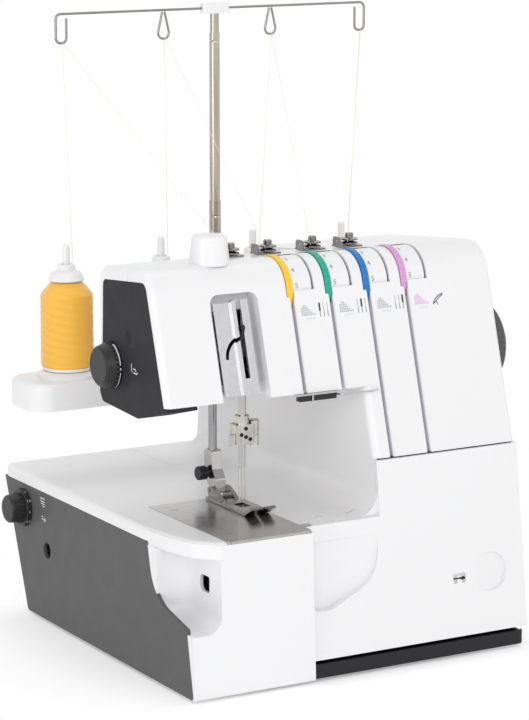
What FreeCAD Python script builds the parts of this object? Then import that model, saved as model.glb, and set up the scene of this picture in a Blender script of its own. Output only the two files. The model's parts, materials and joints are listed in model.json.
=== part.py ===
import FreeCAD, Part
import math
import os

# Cover stitch sewing machine, in millimetres, as separate pieces.
# Pieces are drawn from the front left corner of the bed: x to the right,
# y to the back, z up. The export moves them so that the origin lies on the
# floor under the middle of the machine.

V = FreeCAD.Vector

# Whole machine
BED_WIDTH = 330.0
BED_DEPTH = 357.0
# Middle of the whole width, from the spool shelf's left end to the handwheel
MIDDLE_X = 169.0
BED_TOP = 130.0
BED_UNDER = 119.0
WALL = 3.0
FIT = 0.05
GAP = 0.4

# Base
TRAY_TOP = 15.0
TRAY_BOTTOM = 3.0
TRAY_FRONT = 4.6
PANEL_THICK = 3.2
REAR_FOOT_Y = 313.0
REAR_LEAN = (BED_DEPTH - REAR_FOOT_Y) / (BED_UNDER - TRAY_BOTTOM)
BED_SEAM_X = 125.0
BLOCK_RIGHT = 114.0
LOOPER_BAY_BACK = 78.0
TABLE_HOLE = (272.0, 67.0, 7.25)
FEED_KNOB = (318.0, 97.0, 13.5)

# Tower, arm and head
TOWER_LEFT = 188.0
SEAM_Z = 177.0
SEAM_Y = 28.0
FACE_LEAN = 0.29
ARM_UNDER = 236.0
ARM_TOP_FRONT = 346.0
TOP_FALL = 0.1
ARM_REAR = 165.0
TOWER_REAR = 240.0
SHELL_SPLIT = 112.0
SEAM_CUT = 0.6
CROWN = 28.0
RIGHT_EDGE_R = 6.0
TOWER_EDGE_R = 7.0
LEDGE_TOP = 198.0
LEDGE_REAR = 340.0

# Tension dials
DIAL_X = (127.5, 164.8, 202.1, 239.4)
DIAL_NAMES = ("yellow", "green", "blue", "violet")
DISC_R = 29.3
DISC_WIDE = 4.6
DISC_LEFT = 1.4
DRUM_R = 27.6
DRUM_WIDE = 19.0
CHANNEL_WIDE = 4.6
CHANNEL_DEEP = 9.0

# Stitching parts
NEEDLE_X = 100.0
NEEDLE_Y = 99.0
NEEDLE_PITCH = 3.0
NEEDLE_TIP = 134.0
BAR_R = 3.6
PRESSER_Y = 150.0
PRESSER_R = 3.75
FOOT_PIN = (140.0, 138.5)
HOLDER_SCREW_Z = 152.0
PLATE = (34.0, 113.6, 5.4, 145.0)
PLATE_TOP = 130.4

# Drive
SHAFT_Y = 104.0
SHAFT_Z = 250.0
SHAFT_R = 5.0
LOWER_Y = 100.0
LOWER_Z = 60.0
MOTOR_Y = 215.0
MOTOR_Z = 78.0
MOTOR_R = 30.0
MAIN_PULLEY_R = 32.0
MOTOR_PULLEY_R = 8.0
TIMING_R = 18.0
BELT_THICK = 1.6

# Thread stand
STAND_Y = 276.0
STAND_X = 165.0
POLE_X = 173.0
PIN_PITCH = 93.7
PIN_X = tuple(STAND_X + PIN_PITCH * (i - 1.5) for i in range(4))
HOOK_X = (22.5, 122.0, 230.0, 323.5)
SHELF_BOTTOM = 198.0
SHELF_TOP = 222.0
SPOOL_BOTTOM = 228.0
SPOOL_R = 23.5
THREAD_HIGH = 79.0
POLE_LOWER_TOP = 367.0
POLE_UPPER_TOP = 536.0
GUIDE_BAR_Z = 538.0
GUIDE_HOOK_Z = 513.0
PRETENSION = ((103.0, 127.0), (139.0, 127.0), (183.0, 127.0), (220.0, 127.0))
STRAND_R = 0.3


def outline(corners, place):
    """Closed wire through (u, v) or (u, v, radius) corners, rounded where a radius is given."""
    pts = [FreeCAD.Vector(c[0], c[1], 0) for c in corners]
    radii = [c[2] if len(c) > 2 else 0.0 for c in corners]
    joints = []
    for i, corner in enumerate(pts):
        back = (pts[i - 1] - corner).normalize()
        ahead = (pts[(i + 1) % len(pts)] - corner).normalize()
        if radii[i] <= 0:
            joints.append((corner, None, corner))
            continue
        half = back.getAngle(ahead) / 2
        reach = radii[i] / math.tan(half)
        middle = (back + ahead).normalize()
        top = corner + middle * (radii[i] / math.sin(half) - radii[i])
        joints.append((corner + back * reach, top, corner + ahead * reach))
    edges = []
    for i, (start, top, end) in enumerate(joints):
        if top is not None:
            edges.append(Part.Arc(place(start), place(top), place(end)).toShape())
        follow = joints[(i + 1) % len(joints)][0]
        if (follow - end).Length > 1e-6:
            edges.append(Part.LineSegment(place(end), place(follow)).toShape())
    return Part.Wire(edges)


def prism_x(corners, x0, x1):
    """Side view outline (y, z) drawn out along x."""
    wire = outline(corners, lambda p: V(x0, p.x, p.y))
    return Part.Face(wire).extrude(V(x1 - x0, 0, 0))


def prism_y(corners, y0, y1):
    """Front view outline (x, z) drawn out along y."""
    wire = outline(corners, lambda p: V(p.x, y0, p.y))
    return Part.Face(wire).extrude(V(0, y1 - y0, 0))


def prism_z(corners, z0, z1):
    """Plan outline (x, y) drawn out along z."""
    wire = outline(corners, lambda p: V(p.x, p.y, z0))
    return Part.Face(wire).extrude(V(0, 0, z1 - z0))


def block(x0, x1, y0, y1, z0, z1):
    return Part.makeBox(x1 - x0, y1 - y0, z1 - z0, V(x0, y0, z0))


def rod_x(x0, x1, y, z, r):
    return Part.makeCylinder(r, x1 - x0, V(x0, y, z), V(1, 0, 0))


def rod_y(y0, y1, x, z, r):
    return Part.makeCylinder(r, y1 - y0, V(x, y0, z), V(0, 1, 0))


def rod_z(z0, z1, x, y, r):
    return Part.makeCylinder(r, z1 - z0, V(x, y, z0), V(0, 0, 1))


def rod(a, b, r):
    """Straight round bar between two points."""
    return Part.makeCylinder(r, (b - a).Length, a, b - a)


def turned_x(profile, y, z):
    """Body turned about the x line through (y, z) from (x, radius) corners with edge radii."""
    wire = outline(profile, lambda p: V(p.x, y, z + p.y))
    return Part.Face(wire).revolve(V(0, y, z), V(1, 0, 0), 360)


def turned_z(profile, x, y):
    """Body turned about the upright line through (x, y) from (radius, z) corners."""
    wire = outline(profile, lambda p: V(x + p.x, y, p.y))
    return Part.Face(wire).revolve(V(x, y, 0), V(0, 0, 1), 360)


def join(shapes):
    """One fused shape with its flush faces merged."""
    first = shapes[0]
    return first.multiFuse(shapes[1:]).removeSplitter() if len(shapes) > 1 else first


def bent_wire(points, r, bend):
    """Round wire along a polyline whose corners are bent to a radius."""
    edges = []
    start = points[0]
    for i in range(1, len(points) - 1):
        corner = points[i]
        back = (points[i - 1] - corner).normalize()
        ahead = (points[i + 1] - corner).normalize()
        half = back.getAngle(ahead) / 2
        reach = bend / math.tan(half)
        top = corner + (back + ahead).normalize() * (bend / math.sin(half) - bend)
        edges.append(Part.LineSegment(start, corner + back * reach).toShape())
        edges.append(Part.Arc(corner + back * reach, top, corner + ahead * reach).toShape())
        start = corner + ahead * reach
    edges.append(Part.LineSegment(start, points[-1]).toShape())
    section = Part.Wire(Part.makeCircle(r, points[0], points[1] - points[0]))
    return Part.Wire(edges).makePipeShell([section], True, True)


def edges_where(shape, test):
    """Edges of a shape whose every sampled point passes the test."""
    found = []
    for edge in shape.Edges:
        first, last = edge.ParameterRange
        spots = [edge.valueAt(first + (last - first) * k / 4) for k in range(5)]
        if all(test(p) for p in spots):
            found.append(edge)
    return found


def face_y(z):
    """Depth of the leaning front face of tower, arm and head at a height."""
    return SEAM_Y + FACE_LEAN * (z - SEAM_Z)


def top_z(y):
    """Height of the gently falling top at a depth."""
    return ARM_TOP_FRONT - TOP_FALL * (y - face_y(ARM_TOP_FRONT))


def upper_section(bottom, rear, inset):
    """Side view of arm or tower: leaning face, round crown, falling top."""
    lean = inset * math.sqrt(1 + FACE_LEAN ** 2)
    low = bottom + inset
    front_top = ARM_TOP_FRONT - inset
    back = rear - inset
    return [
        (face_y(low) + lean, low),
        (face_y(front_top) + lean, front_top, CROWN - inset),
        (back, top_z(back) - inset, 14.0 - inset),
        (back, low),
    ]


def crown_centre():
    """Centre (y, z) of the round crown, where the tension dials turn."""
    face = V(FACE_LEAN, 1, 0).normalize()
    top = V(1, -TOP_FALL, 0).normalize()
    into_face = V(face.y, -face.x, 0)
    into_top = V(top.y, -top.x, 0)
    corner = V(face_y(ARM_TOP_FRONT), ARM_TOP_FRONT, 0)
    start_a = corner + into_face * CROWN
    start_b = corner + into_top * CROWN
    cross = face.x * top.y - face.y * top.x
    gap = start_b - start_a
    t = (gap.x * top.y - gap.y * top.x) / cross
    centre = start_a + face * t
    return centre.x, centre.y


DIAL_Y, DIAL_Z = crown_centre()


def knurled(knob, x0, x1, y, z, r, count, notch):
    """Round knob with a row of grip flutes along its rim."""
    flutes = []
    for k in range(count):
        turn = 2 * math.pi * k / count
        flutes.append(rod_x(x0, x1, y + r * math.cos(turn), z + r * math.sin(turn), notch))
    return knob.cut(Part.makeCompound(flutes))


def belt_loop(x0, x1, a, ra, b, rb):
    """Flat belt around two pulleys at (y, z) points a and b."""
    def hull(grow):
        along = V(b[0] - a[0], b[1] - a[1], 0)
        tilt = math.asin((ra - rb) / along.Length)
        base = math.atan2(along.y, along.x)
        sides = []
        for sign in (1, -1):
            turn = base + sign * (math.pi / 2 - tilt)
            n = V(math.cos(turn), math.sin(turn), 0)
            sides.append((V(a[0], a[1], 0) + n * (ra + grow), V(b[0], b[1], 0) + n * (rb + grow)))
        far_a = V(a[0], a[1], 0) - V(along).normalize() * (ra + grow)
        far_b = V(b[0], b[1], 0) + V(along).normalize() * (rb + grow)

        def at(p):
            return V(x0, p.x, p.y)

        wire = Part.Wire([
            Part.LineSegment(at(sides[0][0]), at(sides[0][1])).toShape(),
            Part.Arc(at(sides[0][1]), at(far_b), at(sides[1][1])).toShape(),
            Part.LineSegment(at(sides[1][1]), at(sides[1][0])).toShape(),
            Part.Arc(at(sides[1][0]), at(far_a), at(sides[0][0])).toShape(),
        ])
        return Part.Face(wire).extrude(V(x1 - x0, 0, 0))
    return hull(FIT + BELT_THICK).cut(hull(FIT))


# Base tray, feet and dark side cover
FEET = ((30.0, 30.0), (300.0, 30.0), (30.0, 285.0), (300.0, 285.0))


def base_pieces():
    left = PANEL_THICK + 0.3
    plan = [(left, TRAY_FRONT, 6), (BED_WIDTH - 3, TRAY_FRONT, 6),
            (BED_WIDTH - 3, 308, 10), (left, 308, 10)]
    inner = [(left + 3, TRAY_FRONT + 3, 4), (BED_WIDTH - 6, TRAY_FRONT + 3, 4),
             (BED_WIDTH - 6, 305, 8), (left + 3, 305, 8)]
    tray = prism_z(plan, TRAY_BOTTOM, TRAY_TOP)
    tray = tray.cut(prism_z(inner, TRAY_BOTTOM + 3, TRAY_TOP + 1))
    hinge_room = block(BED_WIDTH - 12, BED_WIDTH - 2, TRAY_FRONT + 3, 26, TRAY_TOP - 1.8, TRAY_TOP + 1)
    tray = tray.cut(hinge_room)
    feet = []
    for x, y in FEET:
        tray = tray.cut(rod_z(TRAY_BOTTOM - 1, TRAY_BOTTOM + 4, x, y, 3.5))
        feet.append(turned_z([(0, 0), (8.0, 0), (8.8, 0.8), (9.5, TRAY_BOTTOM), (3.5, TRAY_BOTTOM),
                              (3.5, 6.7), (2.7, 7.5), (0, 7.5)], x, y))
    side = prism_x(side_cover_outline(), 0, PANEL_THICK)
    y, z, r = TABLE_HOLE
    side = side.cut(rod_x(-1, PANEL_THICK + 1, y, z, r))
    y, z, r = FEED_KNOB
    side = side.cut(rod_x(-1, PANEL_THICK + 1, y, z, 5 + FIT))
    return {"base_tray": tray, "rubber_feet": Part.makeCompound(feet), "left_side_cover": side}


def side_cover_outline():
    return [(2, TRAY_BOTTOM, 3), (REAR_FOOT_Y, TRAY_BOTTOM, 4),
            (BED_DEPTH, BED_UNDER), (81, BED_UNDER), (70, 73, 40), (13, 60, 3)]


def scoop(grow):
    """Finger scoop at the front left corner under the rounded bed edge."""
    plan = [(-9, -9), (27 + grow, -9), (27 + grow, 65 + grow, 20 + grow), (-9, 65 + grow)]
    hollow = prism_z(plan, 56 - grow, BED_UNDER - 3)
    low = edges_where(hollow, lambda p: abs(p.z - 56 + grow) < 1e-3 and p.x > -8 and p.y > -8)
    return hollow.makeFillet(14 + grow, low)


def bed_cover():
    """White bed: top slab, front block over the looper bay, finger scoop."""
    slab = prism_z([(0, 86, 40), (4, 52, 26), (11, 24, 20), (29, 5.4, 8), (BLOCK_RIGHT, 5.4),
                    (BLOCK_RIGHT, 148), (BED_SEAM_X - GAP, 148), (BED_SEAM_X - GAP, BED_DEPTH),
                    (0, BED_DEPTH, 7)], BED_UNDER - 3, BED_TOP)
    whole = slab.copy()
    rim = edges_where(slab, lambda p: abs(p.z - BED_TOP) < 1e-3 and p.x < BED_SEAM_X - 0.01
                      and (p.x < 26 or p.y > BED_DEPTH - 0.01))
    slab = slab.makeFillet(5.0, rim)
    slab = slab.cut(block(-1, BED_SEAM_X + 1, 150, BED_DEPTH + 1, BED_UNDER - 4, BED_UNDER))
    front = prism_x([(0, TRAY_BOTTOM, 2), (92, TRAY_BOTTOM), (92, BED_TOP - 2), (5.4, BED_TOP - 2)],
                    0, BLOCK_RIGHT)
    inside = prism_x([(4.2, TRAY_BOTTOM - 1), (93, TRAY_BOTTOM - 1), (93, BED_UNDER - 3),
                      (8, BED_UNDER - 3)], PANEL_THICK, BLOCK_RIGHT - WALL)
    front = front.cut(inside.cut(scoop(WALL)))
    front = front.cut(block(PANEL_THICK, BLOCK_RIGHT + 1, 4.2, 93, 0, TRAY_TOP))
    front = front.cut(block(-1, PANEL_THICK, 86, 93, 0, BED_TOP))
    corner = block(-1, 29, -1, 86, BED_UNDER - 3, BED_TOP).cut(whole)
    front = front.cut(corner)
    cover = join([slab, front]).cut(scoop(0))
    cover = cover.cut(prism_x(side_cover_outline(), -1, PANEL_THICK))
    cover = cover.cut(block(PLATE[0], PLATE[1], PLATE[2] - 1, PLATE[3], BED_TOP - 2, BED_TOP + 1))
    cover = cover.cut(block(46, BLOCK_RIGHT - WALL, 22, 134, BED_UNDER - 5, BED_TOP))
    latch = prism_x([(24, 84, 2), (40, 84, 5), (40, 98, 5), (24, 98, 2)], 24, 34)
    y, z = COVER_HINGE
    return join([cover.cut(latch), rod_x(BLOCK_RIGHT - 1, BLOCK_RIGHT + 11, y, z, HINGE_PIN_R)])


def needle_plate():
    """Steel stitch plate with a folded front lip, feed slots and needle slot."""
    x0, x1, y0, y1 = PLATE
    plate = prism_z([(x0, y0 + 1.5, 3), (x1, y0 + 1.5, 2), (x1, y1, 4), (x0, y1, 4)],
                    BED_TOP - 2, PLATE_TOP)
    lip = block(x0 + 3, x1 - 2, y0, y0 + 1.5, BED_TOP - 2, PLATE_TOP)
    tab = prism_z([(x1 - 1, 20, 0), (x1 + 9, 21, 2), (x1 + 9, 27, 2), (x1 - 1, 28, 0)],
                  BED_TOP + GAP / 4, PLATE_TOP)
    plate = join([plate, lip, tab])
    cuts = []
    for side in (-8.0, 8.0):
        cuts.append(prism_z([(NEEDLE_X + side - 3, 80, 1), (NEEDLE_X + side + 3, 80, 1),
                             (NEEDLE_X + side + 3, 130, 1), (NEEDLE_X + side - 3, 130, 1)],
                            BED_TOP - 3, PLATE_TOP + 1))
    cuts.append(prism_z([(NEEDLE_X - 4.5, 96, 1), (NEEDLE_X + 4.5, 96, 1),
                         (NEEDLE_X + 4.5, 102, 1), (NEEDLE_X - 4.5, 102, 1)],
                        BED_TOP - 3, PLATE_TOP + 1))
    for k in range(5):
        cuts.append(block(x0 + 12, x0 + 20, 40 + 8 * k, 40.6 + 8 * k, PLATE_TOP - 0.4, PLATE_TOP + 1))
    screws = []
    for x, y in ((48.0, 122.0), (48.0, 30.0)):
        cuts.append(rod_z(BED_TOP - 3, PLATE_TOP + 1, x, y, 2.5))
        cuts.append(Part.makeCone(2.5, 4.2, 1.7, V(x, y, PLATE_TOP - 1.7)))
        screw = join([rod_z(BED_TOP - 2, PLATE_TOP - 1.7, x, y, 2.5),
                      Part.makeCone(2.5, 4.2, 1.7, V(x, y, PLATE_TOP - 1.7))])
        screws.append(screw.cut(block(x - 5, x + 5, y - 0.5, y + 0.5, PLATE_TOP - 0.8, PLATE_TOP + 1)))
    return Part.makeCompound([plate.cut(Part.makeCompound(cuts))] + screws)


# Hinged front cover over the looper bay
COVER_LEFT = BLOCK_RIGHT + 0.6
COVER_TOP = SEAM_Z - 1.2
COVER_LOW = 18.3
COVER_HINGE = (11.0, 21.0)
COVER_THICK = 3.5
HINGE_PIN_R = 1.5
COVER_LEAN = 7.7
DISH_TOP = 116.0
DISH_TURN = 1.6
DISH_TILT = 1.5
GRIP_TURN = 6.0


def cover_y(z):
    """Front surface of the lower cover at a height."""
    return 5.0 + 0.135 * (z - COVER_LOW)


def front_cover():
    """Lower front cover with the quarter round dish, finger grip and hinge eyes."""
    def slice_of(low, high, x0, x1, front, back):
        return prism_x([(cover_y(low) + front, low), (cover_y(high) + front, high),
                        (cover_y(high) + back, high), (cover_y(low) + back, low)], x0, x1)
    tall = slice_of(COVER_LOW, COVER_TOP, TOWER_LEFT, BED_WIDTH, 0, COVER_THICK)
    low = slice_of(COVER_LOW, BED_TOP - 0.4, COVER_LEFT, TOWER_LEFT, 0, COVER_THICK)
    dish_back = slice_of(46, 122, COVER_LEFT + 2, 186, COVER_THICK, 10)
    cover = join([tall, low, dish_back])
    high = cover_y(DISH_TOP)
    dish = prism_y([(119, DISH_TOP), (119, 58, 4), (136, 58, 14), (184, 80, 34), (184, DISH_TOP)],
                   high - 25, high)
    dish.rotate(V(184, high, DISH_TOP), V(0, 0, 1), -DISH_TURN)
    dish.rotate(V(184, high, DISH_TOP), V(1, 0, 0), -DISH_TILT)
    cover = cover.cut(dish)
    level = cover_y(68) + 0.3
    grip = prism_y([(282, 53), (312, 53, 16), (312, 86, 16), (282, 86)],
                   level - 20, level)
    grip.rotate(V(283, level, 68), V(1, 0, 0), -COVER_LEAN)
    grip.rotate(V(283, level, 68), V(0, 0, 1), GRIP_TURN)
    cover = join([cover, slice_of(48, 90, 276, 318, COVER_THICK, 6)]).cut(grip)
    window = prism_y([(257, 63.5, 1), (269.5, 63.5, 1), (269.5, 72, 1), (257, 72, 1)], 0, 40)
    tongue = prism_y([(261, 63.5), (265.5, 63.5), (265.5, 69.5, 1), (261, 69.5, 1)], 0, 40)
    cover = cover.cut(window.cut(tongue).common(slice_of(50, 80, 250, 280, -2, 2.2)))
    y, z = COVER_HINGE
    for x0, x1 in ((COVER_LEFT + 2, COVER_LEFT + 12), (BED_WIDTH - 13, BED_WIDTH - 4)):
        cover = join([cover, rod_x(x0, x1, y, z, 3.2)])
        cover = cover.cut(rod_x(x0 - 9, x1 + 9, y, z, HINGE_PIN_R + FIT))
    cover = cover.cut(block(BED_WIDTH - 17.6, BED_WIDTH - 13.4, y - 3.4, y + 5, 10, z + 6))
    return cover


# Upper housing in two shells
def throat_fillet(y0, y1):
    """Concave blend between bed and tower wall."""
    bend = 20.0
    strip = block(TOWER_LEFT - bend, TOWER_LEFT, y0, y1, BED_TOP, BED_TOP + bend)
    return strip.cut(rod_y(y0 - 1, y1 + 1, TOWER_LEFT - bend, BED_TOP + bend, bend))


def housing_solid():
    """Outer form of head, arm, tower and rear ledge before it is made hollow."""
    arm = prism_x(upper_section(ARM_UNDER, ARM_REAR, 0), 0, BED_WIDTH)
    tower = prism_x(upper_section(SEAM_Z, TOWER_REAR, 0), TOWER_LEFT, BED_WIDTH)
    form = join([arm, tower])
    right = edges_where(form, lambda p: p.x > BED_WIDTH - 1e-3 and p.z > SEAM_Z + 0.01)
    form = form.makeFillet(RIGHT_EDGE_R, right)
    left = edges_where(form, lambda p: p.x < 1e-3 and p.z > ARM_UNDER + 0.01)
    form = form.makeFillet(5.0, left)
    corner = edges_where(form, lambda p: abs(p.x - TOWER_LEFT) < 1e-3 and abs(p.y - face_y(p.z)) < 1e-3)
    form = form.makeFillet(TOWER_EDGE_R, corner)
    mid = block(TOWER_LEFT, BED_WIDTH, LOOPER_BAY_BACK, TOWER_REAR, BED_TOP - 2, SEAM_Z)
    ledge = prism_x([(LOOPER_BAY_BACK, BED_TOP - 2), (LEDGE_REAR, BED_TOP - 2),
                     (LEDGE_REAR - 8, LEDGE_TOP, 10), (LOOPER_BAY_BACK + 60, LEDGE_TOP)],
                    TOWER_LEFT, BED_WIDTH)
    return form, join([mid, ledge])


def housing_hollow():
    right = BED_WIDTH - 7
    arm = prism_x(upper_section(ARM_UNDER, ARM_REAR, WALL), PANEL_THICK, right)
    tower = prism_x(upper_section(SEAM_Z - 2 * WALL, TOWER_REAR, WALL), TOWER_LEFT + WALL, right)
    mid = block(TOWER_LEFT + WALL, BED_WIDTH - WALL, LOOPER_BAY_BACK - 1, TOWER_REAR - WALL,
                BED_TOP - 20, SEAM_Z + WALL)
    ledge = prism_x([(LOOPER_BAY_BACK + 40, BED_TOP - 20), (LEDGE_REAR - WALL, BED_TOP - 20),
                     (LEDGE_REAR - 8 - WALL, LEDGE_TOP - WALL, 8),
                     (LOOPER_BAY_BACK + 40, LEDGE_TOP - WALL)],
                    TOWER_LEFT + WALL, BED_WIDTH - WALL)
    return join([arm, tower, mid, ledge])


def base_shell():
    """White right side and rear of the base with its part of the bed top."""
    def rear(z):
        return REAR_FOOT_Y + REAR_LEAN * (z - TRAY_BOTTOM)
    low = TRAY_TOP + GAP / 2
    lower = prism_x([(LOOPER_BAY_BACK, low), (rear(low), low), (rear(BED_UNDER), BED_UNDER),
                     (LOOPER_BAY_BACK, BED_UNDER)], PANEL_THICK, BED_WIDTH)
    top = prism_x([(LOOPER_BAY_BACK, BED_UNDER), (BED_DEPTH, BED_UNDER),
                   (BED_DEPTH, BED_TOP, 5), (LOOPER_BAY_BACK, BED_TOP)], BED_SEAM_X, BED_WIDTH)
    strip = block(BLOCK_RIGHT, BED_SEAM_X, LOOPER_BAY_BACK, 148, BED_UNDER, BED_TOP)
    shelf_front = cover_y(BED_TOP) + COVER_THICK + GAP
    shelf = block(BLOCK_RIGHT, BED_WIDTH - 1, shelf_front, LOOPER_BAY_BACK, BED_TOP - WALL, BED_TOP)
    shelf = shelf.cut(block(TOWER_LEFT + WALL, BED_WIDTH - WALL, 0, LOOPER_BAY_BACK, 100, 140))
    cheek = prism_x([(cover_y(low) + COVER_THICK + GAP, low), (LOOPER_BAY_BACK, low),
                     (LOOPER_BAY_BACK, SEAM_Z), (cover_y(SEAM_Z) + COVER_THICK + GAP, SEAM_Z)],
                    BED_WIDTH - WALL, BED_WIDTH)
    jamb = prism_x([(shelf_front, BED_TOP - WALL), (LOOPER_BAY_BACK, BED_TOP - WALL),
                    (LOOPER_BAY_BACK, SEAM_Z), (cover_y(SEAM_Z) + COVER_THICK + GAP, SEAM_Z)],
                   TOWER_LEFT, TOWER_LEFT + WALL)
    y, z = COVER_HINGE
    cheek = cheek.cut(block(BED_WIDTH - 9, BED_WIDTH + 1, 0, y + 6, 0, z + 1))
    lug = prism_x([(y - 2.6, z - 2.6, 2), (y + 12, z + 1), (y + 12, z + 9), (y - 2.6, z + 2.6, 2)],
                  BED_WIDTH - 17, BED_WIDTH - 14)
    web = block(BED_WIDTH - 17, BED_WIDTH - 2, y + 9, y + 12, z + 1, z + 9)
    pin = rod_x(BED_WIDTH - 15, BED_WIDTH - 5, y, z, HINGE_PIN_R)
    outer = join([lower, top, strip, shelf, cheek, jamb, lug, web, pin])
    hollow = prism_x([(LOOPER_BAY_BACK - 1, 5), (rear(5) - WALL, 5),
                      (rear(BED_UNDER - WALL) - WALL - 0.5, BED_UNDER - WALL),
                      (LOOPER_BAY_BACK - 1, BED_UNDER - WALL)], -1, BED_WIDTH - WALL)
    under_bed = block(-1, BED_SEAM_X, LOOPER_BAY_BACK - 1, rear(BED_UNDER) - WALL - 1,
                      BED_UNDER - WALL - 1, BED_UNDER)
    hollow = join([hollow, under_bed])
    hollow = hollow.fuse(block(BLOCK_RIGHT - 3, BED_WIDTH - WALL, LOOPER_BAY_BACK - 1, 150,
                               BED_UNDER - WALL - 1, BED_TOP - WALL))
    return outer, hollow


# Face slot of the head, where the take up lever moves
SLOT = (52.5, 97.5, 241.0, 321.0)
SLOT_DEEP = 17.0
GUARD_DEEP = 6.0
GUARD_CURVE = (82.0, 268.0, 15.5, 18.5)
HEAD_PANEL = [(157, 327, 6), (160, ARM_UNDER), (face_y(ARM_UNDER) + 5, ARM_UNDER), (81, 334, 8)]
PRESSURE_KNOB = (143.0, 256.0, 20.0)
HEAD_DISH_R = 20.0
HANDWHEEL_HUB = 8.0
HANDWHEEL_R = 38.0
HANDWHEEL_FACE = 360.0
LENGTH_DIAL = (170.0, 100.0, 15.0)
INLET = (262.0, 60.0)
SWITCH = (298.0, 60.0)


def face_band(near, far, low, high, x0, x1):
    """Slab under the leaning face, between two depths behind it."""
    return prism_x([(face_y(low) + near, low), (face_y(high) + near, high),
                    (face_y(high) + far, high), (face_y(low) + far, low)], x0, x1)


def channel_bottom(i):
    return ARM_UNDER if i < 2 else SEAM_Z


def housings():
    """Front and rear shells of head, arm and tower."""
    form, rear_form = housing_solid()
    hollow = housing_hollow()
    split = block(-30, BED_WIDTH + 30, -50, SHELL_SPLIT, SEAM_Z, 400)
    shell = form.cut(hollow)
    front = shell.common(split)
    x0, x1, z0, z1 = SLOT
    pocket = face_band(2.0, SLOT_DEEP + WALL, z0 - 8, z1 + 5, x0 - WALL, x1 + WALL)
    front = front.fuse(pocket.common(prism_x(upper_section(ARM_UNDER, ARM_REAR, 0), 0, BED_WIDTH)))
    slot = prism_y([(x0, z0 - 20), (x1, z0 - 20), (x1, z1, 8), (x0, z1, 8)], 0, 140)
    front = front.cut(slot.common(face_band(-9, SLOT_DEEP, z0 - 20, z1 + 4, x0 - 1, x1 + 1)))
    opening = face_band(SLOT_DEEP - 2, SLOT_DEEP + 13, 246, 305, 62, 90)
    front = front.cut(opening)
    ribs = [face_band(2.0, CHANNEL_DEEP + 2.4, channel_bottom(i), DIAL_Z, x - 4.5, x + 8)
            for i, x in enumerate(DIAL_X)]
    front = join([front] + ribs)
    cuts = []
    for i, x in enumerate(DIAL_X):
        cuts.append(rod_x(x - DISC_LEFT - 0.9, x + DISC_WIDE + 0.4, DIAL_Y, DIAL_Z, DISC_R + 0.6))
        cuts.append(rod_x(x, x + DISC_WIDE + DRUM_WIDE + 1.6, DIAL_Y, DIAL_Z, DRUM_R + 0.9))
        cuts.append(face_band(-2, CHANNEL_DEEP, channel_bottom(i) - 1, DIAL_Z,
                              x + 0.4, x + 0.4 + CHANNEL_WIDE))
    cuts.append(rod_z(200, 260, NEEDLE_X, NEEDLE_Y, 7.0))
    cuts.append(rod_z(200, 260, NEEDLE_X, PRESSER_Y, 6.0))
    cuts.append(prism_x(HEAD_PANEL, -1, PANEL_THICK + 1))
    cuts.append(rod_x(BED_WIDTH - 8, BED_WIDTH + 1, SHAFT_Y, SHAFT_Z, HANDWHEEL_HUB + 1.0))
    cuts.append(rod_y(140, 170, 118, 256, 5 + FIT))
    tool = Part.makeCompound(cuts)
    front = join([front.cut(tool)])
    rear = join([shell.cut(split), rear_form.cut(hollow)])
    outer, base_hollow = base_shell()
    rear = join([rear, outer, throat_fillet(cover_y(BED_TOP) + COVER_THICK + GAP, LEDGE_REAR - 6)])
    rear = rear.cut(base_hollow)
    rear = rear.cut(block(TOWER_LEFT + WALL, BED_WIDTH - WALL, LOOPER_BAY_BACK - 1, TOWER_REAR - WALL,
                          BED_UNDER - 5, SEAM_Z + WALL))
    rear = rear.cut(block(TOWER_LEFT + WALL, BED_WIDTH - WALL, TOWER_REAR - WALL - 1,
                          LEDGE_REAR - WALL, BED_UNDER - 5, BED_TOP + 5))
    rear = rear.cut(tool)
    seam = block(-1, BED_WIDTH + 1, SHELL_SPLIT - SEAM_CUT / 2, SHELL_SPLIT + SEAM_CUT / 2,
                 ARM_UNDER + 6, 400)
    seam = seam.cut(prism_x(upper_section(ARM_UNDER, ARM_REAR, SEAM_CUT), SEAM_CUT, BED_WIDTH - SEAM_CUT))
    front = front.cut(seam)
    rear = rear.cut(seam)
    rear = rear.cut(rod_x(BED_WIDTH - 9, BED_WIDTH + 1, LENGTH_DIAL[0], LENGTH_DIAL[1], 4 + FIT))
    rear = rear.cut(prism_x([(INLET[0] - 14, INLET[1] - 11, 3), (INLET[0] + 14, INLET[1] - 11, 3),
                             (INLET[0] + 14, INLET[1] + 11, 3), (INLET[0] - 14, INLET[1] + 11, 3)],
                            BED_WIDTH - 9, BED_WIDTH + 1))
    rear = rear.cut(block(BED_WIDTH - 9, BED_WIDTH + 1, SWITCH[0] - 9, SWITCH[0] + 9,
                          SWITCH[1] - 13, SWITCH[1] + 13))
    for k in range(7):
        x = 215 + 11 * k
        rear = rear.cut(prism_y([(x, 38, 1.5), (x + 4, 38, 1.5), (x + 4, 84, 1.5), (x, 84, 1.5)],
                                300, 360))
    for x in (141.5, 173.5):
        rear = rear.cut(prism_z([(x - 4, 42, 0.9), (x + 4, 42, 0.9), (x + 4, 44.5, 0.9),
                                 (x - 4, 44.5, 0.9)], 120, 140))
    return join([front]), join([rear])


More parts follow.
